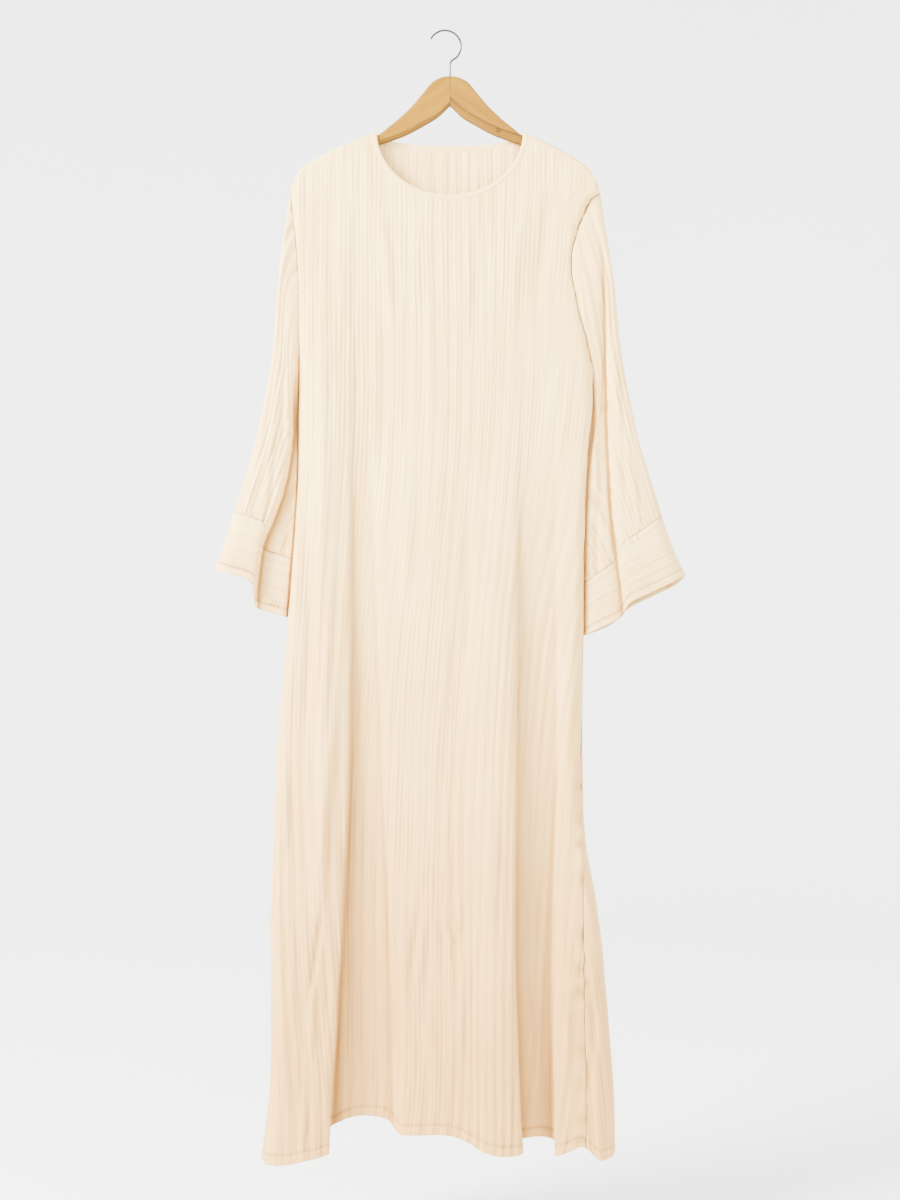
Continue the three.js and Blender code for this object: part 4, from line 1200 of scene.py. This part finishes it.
def arithmetic(tree, operation, *values):
    """A math node's result."""
    made = tree.nodes.new("ShaderNodeMath")
    made.operation = operation
    for socket, value in zip(made.inputs, values):
        feed(tree, socket, value)
    return made.outputs[0]


def weighted(tree, *pairs):
    """The sum of values, each times its weight: every pair is a value and a weight."""
    parts = [arithmetic(tree, "MULTIPLY", *pair) for pair in pairs]
    total = parts[0]
    for part in parts[1:]:
        total = arithmetic(tree, "ADD", total, part)
    return total


def blend_colour(tree, share, first, second):
    """A share of the way from one colour to another."""
    made = tree.nodes.new("ShaderNodeMix")
    made.data_type = "RGBA"
    feed(tree, made.inputs[0], share)
    feed(tree, made.inputs[6], first)
    feed(tree, made.inputs[7], second)
    return made.outputs[2]


def spread(tree, value, low, high, to_low=0.0, to_high=1.0):
    """Stretches a range of values onto another, held at its ends."""
    ends = {"From_Min": low, "From_Max": high, "To_Min": to_low, "To_Max": to_high}
    return put(tree, "ShaderNodeMapRange", None, Value=value, **ends).outputs[0]


def stretched_noise(tree, vector, scale, detail=2.0):
    """Noise whose grains are as long and wide as `scale` says."""
    mapping = put(tree, "ShaderNodeMapping", {"vector_type": "POINT"}, Vector=vector, Scale=scale)
    made = put(tree, "ShaderNodeTexNoise", None, Vector=mapping.outputs[0], Scale=1.0, Detail=detail)
    return made.outputs["Fac"]


def new_group(name, inputs, outputs):
    """An empty shader group with its named inputs and outputs."""
    group = bpy.data.node_groups.new(name, "ShaderNodeTree")
    for label, kind, default in inputs:
        socket = group.interface.new_socket(label, in_out="INPUT", socket_type=kind)
        if default is not None:
            socket.default_value = default
    for label, kind in outputs:
        group.interface.new_socket(label, in_out="OUTPUT", socket_type=kind)
    return group, group.nodes.new("NodeGroupInput").outputs, group.nodes.new("NodeGroupOutput").inputs


def new_material(name):
    """A material with its shader, its output and its node tree."""
    material = bpy.data.materials.new(name)
    material.use_nodes = True
    tree = material.node_tree
    return material, tree, tree.nodes["Principled BSDF"]


def crinkle_group():
    """Streaks of light and shade along the cloth's grain, its weave, and the height of both."""
    group, given, result = new_group(
        "crinkled weave",
        (
            ("Cloth Place", "NodeSocketVector", None),
            ("Light", "NodeSocketColor", (0.9, 0.8, 0.66, 1)),
            ("Deep", "NodeSocketColor", (0.8, 0.62, 0.44, 1)),
            ("Streaks", "NodeSocketFloat", 0.5),
            ("Threads", "NodeSocketFloat", 1500.0),
        ),
        (("Color", "NodeSocketColor"), ("Height", "NodeSocketFloat")),
    )
    place = given["Cloth Place"]
    wide = stretched_noise(group, place, (110, 3.0, 1), 1.0)
    narrow = stretched_noise(group, place, (420, 9, 1), 2.0)
    cloud = stretched_noise(group, place, (14, 4, 1), 1.0)
    separate = put(group, "ShaderNodeSeparateXYZ", None, Vector=place)
    turns = arithmetic(group, "MULTIPLY", given["Threads"], 6.283)
    warp, weft = (
        arithmetic(group, "SINE", arithmetic(group, "MULTIPLY", separate.outputs[k], turns)) for k in (0, 1)
    )
    weave = arithmetic(group, "MULTIPLY", warp, weft)
    streak = weighted(group, (wide, 0.35), (narrow, 0.45), (cloud, 0.2))
    share = arithmetic(group, "MULTIPLY", spread(group, streak, 0.62, 0.38), given["Streaks"])
    feed(group, result["Color"], blend_colour(group, share, given["Light"], given["Deep"]))
    feed(group, result["Height"], weighted(group, (narrow, 1.0), (weave, 0.06)))
    return group


def grain_group():
    """Long wavy lines of wood grain and fine pores along the X of the place it is given."""
    group, given, result = new_group(
        "wood grain",
        (
            ("Place", "NodeSocketVector", None),
            ("Light", "NodeSocketColor", (0.62, 0.36, 0.11, 1)),
            ("Dark", "NodeSocketColor", (0.42, 0.2, 0.05, 1)),
        ),
        (("Color", "NodeSocketColor"), ("Height", "NodeSocketFloat")),
    )
    place = given["Place"]
    bands = stretched_noise(group, place, (5, 40, 75), 3.0)
    lines = stretched_noise(group, place, (14, 200, 420), 2.0)
    pores = stretched_noise(group, place, (90, 900, 1800), 1.0)
    share = weighted(
        group,
        (spread(group, bands, 0.35, 0.68), 0.55),
        (spread(group, lines, 0.5, 0.72), 0.35),
        (spread(group, pores, 0.6, 0.72), 0.2),
    )
    feed(group, result["Color"], blend_colour(group, share, given["Light"], given["Dark"]))
    feed(group, result["Height"], arithmetic(group, "MULTIPLY", share, -1.0))
    return group


def shared_group(name, builder):
    """A node group, built the first time that it is asked for."""
    return bpy.data.node_groups.get(name) or builder()


def cloth_material(name, light, deep, low, fold, streaks, depth):
    """Matte cream cloth with a faint sheen, its colour painted with shade: streaks along the grain, darker
    and warmer towards the hem for the light's falloff, and golden deep in the folds by the `shade` attribute."""
    material, tree, shader = new_material(name)
    place = put(tree, "ShaderNodeUVMap", {"uv_map": "UVMap"}).outputs[0]
    group = put(tree, "ShaderNodeGroup", {"node_tree": shared_group("crinkled weave", crinkle_group)})
    feed(tree, group.inputs["Cloth Place"], place)
    # Painted shade of the light's falloff: below 0.45 m under the hook the colour goes over to `low`, fully
    # by 1.25 m, on an uneven edge.
    here = put(tree, "ShaderNodeTexCoord").outputs["Object"]
    level = put(tree, "ShaderNodeSeparateXYZ", None, Vector=here).outputs[2]
    patch = put(tree, "ShaderNodeTexNoise", None, Vector=here, Scale=5.0, Detail=1.0).outputs["Fac"]
    falloff_level = arithmetic(tree, "ADD", level, arithmetic(tree, "MULTIPLY", patch, 0.35))
    share = spread(tree, falloff_level, -0.45, -1.25)
    feed(tree, group.inputs["Light"], blend_colour(tree, share, light, low))
    # Painted shade: the `shade` attribute takes the colour over to the golden `fold` colour in folds, creases
    # and seams.
    shade = put(tree, "ShaderNodeAttribute", {"attribute_name": "shade"}).outputs["Fac"]
    group.inputs["Deep"].default_value = deep
    group.inputs["Streaks"].default_value = streaks
    feed(tree, shader.inputs["Base Color"], blend_colour(tree, shade, group.outputs["Color"], fold))
    shader.inputs["Roughness"].default_value = 0.82
    shader.inputs["Specular IOR Level"].default_value = 0.25
    shader.inputs["Sheen Weight"].default_value = 0.12
    shader.inputs["Sheen Roughness"].default_value = 0.5
    bump = put(tree, "ShaderNodeBump", None, Height=group.outputs["Height"], Strength=0.5, Distance=depth)
    feed(tree, shader.inputs["Normal"], bump.outputs[0])
    return material


def thread_material(name, colour):
    """Sewing thread: the cloth's colour, a little deeper, with a fine twist."""
    material, tree, shader = new_material(name)
    here = put(tree, "ShaderNodeTexCoord").outputs["Object"]
    twist = put(tree, "ShaderNodeTexNoise", None, Vector=here, Scale=2200.0, Detail=1.0).outputs["Fac"]
    darker = tuple(0.8 * part for part in colour[:3]) + (1,)
    feed(tree, shader.inputs["Base Color"], blend_colour(tree, twist, colour, darker))
    shader.inputs["Roughness"].default_value = 0.7
    bump = put(tree, "ShaderNodeBump", None, Height=twist, Strength=0.4, Distance=0.0002)
    feed(tree, shader.inputs["Normal"], bump.outputs[0])
    return material


def wood_material(name, light, dark, lean):
    """Honey-coloured wood under a thin clear lacquer, its grain along the arm, which leans by `lean`, and
    darker by the `shade` attribute: painted shade in and below its groove and along its lower edge, and a
    dark joint line."""
    material, tree, shader = new_material(name)
    here = put(tree, "ShaderNodeTexCoord").outputs["Object"]
    turned = put(tree, "ShaderNodeMapping", {"vector_type": "POINT"}, Vector=here, Rotation=(0, lean, 0))
    group = put(tree, "ShaderNodeGroup", {"node_tree": shared_group("wood grain", grain_group)})
    feed(tree, group.inputs["Place"], turned.outputs[0])
    group.inputs["Light"].default_value = light
    group.inputs["Dark"].default_value = dark
    shade = put(tree, "ShaderNodeAttribute", {"attribute_name": "shade"}).outputs["Fac"]
    # Painted shade: by the `shade` attribute the colour goes over to half of the grain's dark colour.
    deeper = tuple(0.5 * part for part in dark[:3]) + (1,)
    feed(tree, shader.inputs["Base Color"], blend_colour(tree, shade, group.outputs["Color"], deeper))
    shader.inputs["Roughness"].default_value = 0.5
    shader.inputs["Specular IOR Level"].default_value = 0.15
    shader.inputs["Coat Weight"].default_value = 0.06
    shader.inputs["Coat Roughness"].default_value = 0.25
    bump = put(tree, "ShaderNodeBump", None, Height=group.outputs["Height"], Strength=0.25, Distance=0.0004)
    feed(tree, shader.inputs["Normal"], bump.outputs[0])
    return material


def steel_material(name, colour):
    """Bright plated wire with faint drawn scratches along it."""
    material, tree, shader = new_material(name)
    here = put(tree, "ShaderNodeTexCoord").outputs["Object"]
    scratch = put(tree, "ShaderNodeTexNoise", None, Vector=here, Scale=900.0, Detail=2.0).outputs["Fac"]
    worn = tuple(0.85 * part for part in colour[:3]) + (1,)
    feed(tree, shader.inputs["Base Color"], blend_colour(tree, scratch, colour, worn))
    shader.inputs["Metallic"].default_value = 1.0
    feed(tree, shader.inputs["Roughness"], spread(tree, scratch, 0.3, 0.7, 0.16, 0.3))
    return material


def stage_material(name, colour):
    """The pale backdrop: plain matte, with a trace of unevenness."""
    material, tree, shader = new_material(name)
    here = put(tree, "ShaderNodeTexCoord").outputs["Object"]
    patch = put(tree, "ShaderNodeTexNoise", None, Vector=here, Scale=1.5).outputs["Fac"]
    darker = tuple(0.985 * part for part in colour[:3]) + (1,)
    feed(tree, shader.inputs["Base Color"], blend_colour(tree, patch, colour, darker))
    shader.inputs["Roughness"].default_value = 0.9
    return material


# Settings that a user would change

def colour_property(name, description, default):
    """A colour that a user can change."""
    return bpy.props.FloatVectorProperty(
        name=name, description=description, default=default, size=4, subtype="COLOR", min=0, max=1
    )


def measure(name, description, default, unit="LENGTH", **more):
    """A length, or another measure with a unit, that a user can change."""
    return bpy.props.FloatProperty(name=name, description=description, default=default, unit=unit, **more)


class AbayaCloth(bpy.types.PropertyGroup):
    pitch: measure("Crinkle Pitch", "From one crinkle pleat to the next", 0.0064, precision=4)
    height: measure("Crinkle Height", "How high a crinkle pleat stands", 0.0013, precision=4)
    thick: measure("Cloth Thickness", "Thickness of the crinkled cloth", 0.0009, precision=4)
    light: colour_property("Cream", "The cloth's colour on its crests", (0.95, 0.69, 0.28, 1))
    # Painted shade of the crinkle's troughs, laid on as streaks along the grain.
    deep: colour_property("Deep Cream", "The cloth's colour in its troughs", (0.78, 0.44, 0.1, 1))
    # Painted shade of the light's falloff, towards the hem.
    low: colour_property("Hem Cream", "The cloth's crests towards the hem", (0.56, 0.31, 0.1, 1))
    # Painted golden shade, deep in folds, creases and seam crevices.
    fold: colour_property("Fold Gold", "The cloth's colour deep in its folds", (0.32, 0.155, 0.022, 1))
    stitch_pitch: measure("Stitch Pitch", "From one stitch to the next", 0.0034, precision=4)
    thread: colour_property("Thread", "The sewing thread's colour", (0.72, 0.42, 0.13, 1))


class AbayaHanger(bpy.types.PropertyGroup):
    light: colour_property("Wood", "The wood between its grain lines", (0.245, 0.118, 0.0, 1))
    dark: colour_property("Wood Grain", "The wood's grain lines", (0.15, 0.056, 0.0, 1))
    wire: colour_property("Wire", "The hook's plated wire", (0.07, 0.07, 0.075, 1))


class AbayaStage(bpy.types.PropertyGroup):
    drop: measure("Floor", "How far the floor lies below the hook's top", 1.75)
    radius: measure("Backdrop Radius", "Radius of the round backdrop", 4.0)
    wall: measure("Backdrop Top", "How high the backdrop reaches above the hook", 1.5)
    backdrop: colour_property("Backdrop", "The floor and backdrop's colour", (0.86, 0.86, 0.86, 1))
    key: measure("Key Light", "Power of the soft key light", 820, "POWER")
    fill: measure("Fill Light", "Power of each fill light", 110, "POWER")
    sky: measure("Sky", "Strength of the even light all round", 2.1, "NONE", min=0, soft_max=10)


def settings(context):
    """The three groups of settings, kept on the scene."""
    scene = context.scene
    return scene.abaya_cloth, scene.abaya_hanger, scene.abaya_stage


def finish_piece(piece, material, slot, *nodes):
    """Gives a piece its finish, sets it riding and hides the nodes that it stands for. Its `slot` is not
    used.
    """
    piece.data.materials.append(material)
    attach(piece, "root")
    if nodes:
        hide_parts(*nodes)
    return piece


def crinkled(cloth):
    """The garment's crinkled material, made once."""
    name = "cream crinkled cloth"
    made = bpy.data.materials.get(name)
    return made or cloth_material(name, cloth.light, cloth.deep, cloth.low, cloth.fold, 0.7, 0.0008)


def threads(cloth):
    """The sewing thread's material, made once."""
    return bpy.data.materials.get("cream thread") or thread_material("cream thread", cloth.thread)


def relief_sizes(cloth):
    """The crinkle's pitch and height in millimetres."""
    return round(cloth.pitch / MM, 4), round(cloth.height / MM, 4)


class ABAYA_OT_stage(bpy.types.Operator):
    """Add the pale round backdrop, the lights and the camera"""

    bl_idname = "abaya.add_stage"
    bl_label = "Stage, Lights and Camera"

    def execute(self, context):
        stage = settings(context)[2]
        self.backdrop(stage)
        self.world(context, stage)
        self.lights(stage)
        self.camera(context)
        return {"FINISHED"}

    @staticmethod
    def backdrop(stage):
        """A bowl: a flat floor, a quarter circle and an upright wall, carried round a vertical axis."""
        fillet, sides = 1.2, 96
        turn = np.linspace(0, np.pi / 2, 24)
        floor = np.linspace(0.3, stage.radius - fillet, 10)[:-1]
        wall = np.linspace(fillet - stage.drop, stage.wall, 8)[1:]
        out = stage.radius - fillet + fillet * np.sin(turn)
        up = fillet - stage.drop - fillet * np.cos(turn)
        radius = np.concatenate([floor, out, np.full(len(wall), stage.radius)])
        height = np.concatenate([np.full(len(floor), -stage.drop), up, wall])
        angle = np.linspace(0, 2 * np.pi, sides, endpoint=False)
        x, y = radius[:, None] * np.cos(angle), radius[:, None] * np.sin(angle)
        points = np.stack([x, y, np.broadcast_to(height[:, None], x.shape)], -1).reshape(-1, 3)
        centre = np.array([[0, 0, -stage.drop]])
        faces = [loop_quads(len(radius), sides), fan(len(points), 0, sides)]
        bowl = make_piece("backdrop", np.concatenate([points, centre]) / MM, faces)
        bowl.data.materials.append(stage_material("pale backdrop", stage.backdrop))

    @staticmethod
    def world(context, stage):
        """Even white light from all round."""
        world = bpy.data.worlds.new("pale sky")
        world.use_nodes = True
        background = world.node_tree.nodes["Background"]
        background.inputs["Color"].default_value = (1, 1, 1, 1)
        background.inputs["Strength"].default_value = stage.sky
        context.scene.world = world

    @staticmethod
    def lights(stage):
        """A large soft key from the front left, and weaker fills from the front right and from behind, all
        turned towards the garment's middle."""
        aim = np.array([0, 0, -0.6])
        for name, place, size, power in (
            ("key light", (-2.7, -1.8, 1.0), 1.3, stage.key),
            ("front fill", (2.2, -2.4, 0.2), 1.8, 0.5 * stage.fill),
            ("back fill", (-1.4, 2.6, 0.9), 1.8, stage.fill),
            ("back key", (2.6, 1.6, 0.7), 1.6, stage.fill),
        ):
            lamp = bpy.data.lights.new(name, "AREA")
            lamp.size = size
            lamp.energy = power
            holder = bpy.data.objects.new(name, lamp)
            holder.location = place
            ahead = aim - place
            holder.rotation_euler = (
                np.arccos(-ahead[2] / np.linalg.norm(ahead)),
                0,
                np.arctan2(ahead[1], ahead[0]) - np.pi / 2,
            )
            bpy.context.collection.objects.link(holder)

    @staticmethod
    def camera(context):
        """Level, 2.8 m in front of the cloth, framed as the photo is."""
        camera = bpy.data.cameras.new("camera")
        camera.sensor_fit = "VERTICAL"
        camera.sensor_height = 24
        camera.lens = 38.89
        camera.clip_end = 50
        holder = bpy.data.objects.new("camera", camera)
        holder.location = (SHANK_X * MM, -2.8, -818.6 * MM)
        holder.rotation_euler = (np.pi / 2, 0, 0)
        context.collection.objects.link(holder)
        context.scene.camera = holder


class ABAYA_OT_body(bpy.types.Operator):
    """Add the front and the back of the body, with the stitching of their hem"""

    bl_idname = "abaya.add_body"
    bl_label = "Front and Back"

    def execute(self, context):
        cloth = settings(context)[0]
        for name, front in (("front", True), ("back", False)):
            surface = panel_surface(front, *relief_sizes(cloth))
            piece = cloth_shell(f"{name}_cloth", surface, cloth.thick / MM)
            finish_piece(piece, crinkled(cloth), "cloth", f"{name}_panel")
            outer, normals, _, _, row = surface
            line, pitch = moved(outer[row]), cloth.stitch_pitch / MM
            hem = stitch_row(f"{name}_hem_stitches", line, normals[row], pitch, (2.6, 0.55, 0.5))
            finish_piece(hem, threads(cloth), "cloth")
        return {"FINISHED"}


class ABAYA_OT_sleeves(bpy.types.Operator):
    """Add both sleeves"""

    bl_idname = "abaya.add_sleeves"
    bl_label = "Sleeves"

    def execute(self, context):
        cloth = settings(context)[0]
        flats = {"left": ((0.3, 0.44), 0.064), "right": ((0.32, 0.46), 0.079)}
        for name, (flat, area) in flats.items():
            surface = sleeve_surface(name, "sleeve", *relief_sizes(cloth))
            piece = cloth_shell(f"{name}_sleeve_cloth", surface, cloth.thick / MM, ring=True)
            finish_piece(piece, crinkled(cloth), "cloth", f"{name}_sleeve")
        return {"FINISHED"}


class ABAYA_OT_cuffs(bpy.types.Operator):
    """Add both cuffs, their crinkle round the arm, with the stitching of their hems"""

    bl_idname = "abaya.add_cuffs"
    bl_label = "Cuffs"

    def execute(self, context):
        cloth = settings(context)[0]
        flats = {"left": ((0.27, 0.087), 0.0235), "right": ((0.34, 0.087), 0.0295)}
        for name, (flat, area) in flats.items():
            surface = sleeve_surface(name, "cuff", *relief_sizes(cloth))
            piece = cloth_shell(f"{name}_cuff_cloth", surface, 1.5 * cloth.thick / MM, ring=True)
            finish_piece(piece, crinkled(cloth), "cloth", f"{name}_cuff")
            outer, normals, _, _, row = surface
            line, away = close_ring(moved(outer))[row], close_ring(normals)[row]
            pitch = cloth.stitch_pitch / MM
            hem = stitch_row(f"{name}_cuff_stitches", line, away, pitch, (2.4, 0.5, 0.45))
            finish_piece(hem, threads(cloth), "cloth")
        return {"FINISHED"}


class ABAYA_OT_binding(bpy.types.Operator):
    """Add the binding round the neck, with its stitching"""

    bl_idname = "abaya.add_binding"
    bl_label = "Neck Binding"

    def execute(self, context):
        cloth = settings(context)[0]
        points, normals, run, row = binding_surface()
        rows, count = points.shape[:2]
        k, s = np.meshgrid(np.arange(rows), np.arange(count), indexing="ij")
        k, s = k.ravel(), s.ravel()
        spots = [(k, s), (k, s + 1), (k + 1, s + 1), (k + 1, s)]
        quads = np.stack([(a % rows) * count + b % count for a, b in spots], 1)[:, ::-1]
        run = np.append(run, run[-1] + 1)
        uvs = np.stack([np.stack([a * 1.0, run[b]], -1) for a, b in spots], 1)[:, ::-1] * MM
        piece = make_piece("neck_binding_cloth", moved(points).reshape(-1, 3), [quads], uvs)
        look = cloth_material("cream binding", cloth.light, cloth.deep, cloth.low, cloth.fold, 0.4, 0.0003)
        finish_piece(piece, look, "binding", "neck_binding")
        line = np.concatenate([moved(points[row]), moved(points[row][:1])])
        away = np.concatenate([normals[row], normals[row][:1]])
        seam = stitch_row("neck_stitches", line, away, 0.9 * cloth.stitch_pitch / MM, (2.1, 0.42, 0.4))
        finish_piece(seam, threads(cloth), "binding")
        return {"FINISHED"}


class ABAYA_OT_hanger(bpy.types.Operator):
    """Add the hanger's two wooden arms and the small eyelet in the right one"""

    bl_idname = "abaya.add_hanger"
    bl_label = "Wooden Arms"

    def execute(self, context):
        hanger = settings(context)[1]
        for name, side in (("left", -1), ("right", 1)):
            look = wood_material(f"honey wood {name}", hanger.light, hanger.dark, side * -0.62)
            finish_piece(arm_piece(f"{name}_arm_wood", side), look, "hanger_wood", f"{name}_hanger_arm")
        dark = wood_material("dark eyelet", (0.05, 0.02, 0.006, 1), (0.02, 0.008, 0.003, 1), 0)
        finish_piece(eyelet_piece("bar_eyelet"), dark, "hanger_wood")
        return {"FINISHED"}


class ABAYA_OT_hook(bpy.types.Operator):
    """Add the bent wire hook"""

    bl_idname = "abaya.add_hook"
    bl_label = "Hook"

    def execute(self, context):
        """The wire's middle runs round an arc, then down a smooth bend; its tip is a half ball."""
        middle = WIRE / 2 - HOOK_RADIUS
        angle = np.radians(np.linspace(HOOK_TIP, HOOK_END, 120))
        arc = np.stack([HOOK_RADIUS * np.cos(angle), middle + HOOK_RADIUS * np.sin(angle)], -1)
        knots = np.concatenate([arc[-8::7], np.stack([HOOK_BEND["x"], HOOK_BEND["z"]], -1)])
        run = np.concatenate([[0], np.cumsum(length(np.diff(knots, axis=0)))])
        at = np.linspace(run[1], run[-1], 60)[1:]
        bend = np.stack([curve(run, knots[:, 0], at), curve(run, knots[:, 1], at)], -1)
        flat = np.concatenate([arc, bend])
        path = np.stack([flat[:, 0], 0 * flat[:, 0], flat[:, 1]], -1)
        radius = np.full(len(path), WIRE / 2)
        tip = np.linspace(0, np.pi / 2, 8)[:-1]
        back = unit(path[0] - path[1])
        path = np.concatenate([path[0] + back * (WIRE / 2 * np.cos(tip))[:, None], path])
        radius = np.concatenate([WIRE / 2 * np.sin(tip) + 0.01, radius])
        look = steel_material("bright wire", settings(context)[1].wire)
        finish_piece(tube("hook_wire", path, radius), look, "hook_steel", "hook")
        return {"FINISHED"}


class ABAYA_PT_panel(bpy.types.Panel):
    """Lists the abaya's pieces and their settings"""

    bl_idname = "ABAYA_PT_panel"
    bl_label = "Abaya"
    bl_space_type = "VIEW_3D"
    bl_region_type = "UI"
    bl_category = "Abaya"

    def draw(self, context):
        for title, group in zip(("Cloth", "Hanger", "Stage"), settings(context)):
            box = self.layout.box()
            box.label(text=title)
            for name in group.__annotations__:
                box.prop(group, name)
        for operator in OPERATORS:
            self.layout.operator(operator.bl_idname)


OPERATORS = (
    ABAYA_OT_stage,
    ABAYA_OT_body,
    ABAYA_OT_sleeves,
    ABAYA_OT_cuffs,
    ABAYA_OT_binding,
    ABAYA_OT_hanger,
    ABAYA_OT_hook,
)
GROUPS = {"abaya_cloth": AbayaCloth, "abaya_hanger": AbayaHanger, "abaya_stage": AbayaStage}


def register():
    for kind in (*GROUPS.values(), *OPERATORS, ABAYA_PT_panel):
        bpy.utils.register_class(kind)
    for name, kind in GROUPS.items():
        setattr(bpy.types.Scene, name, bpy.props.PointerProperty(type=kind))


def unregister():
    for name in GROUPS:
        delattr(bpy.types.Scene, name)
    for kind in reversed((*GROUPS.values(), *OPERATORS, ABAYA_PT_panel)):
        bpy.utils.unregister_class(kind)


def main():
    """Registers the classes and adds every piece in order."""
    register()
    for operator in OPERATORS:
        add = getattr(bpy.ops.abaya, operator.bl_idname.split(".")[1])
        add()


if __name__ == "__main__":
    main()
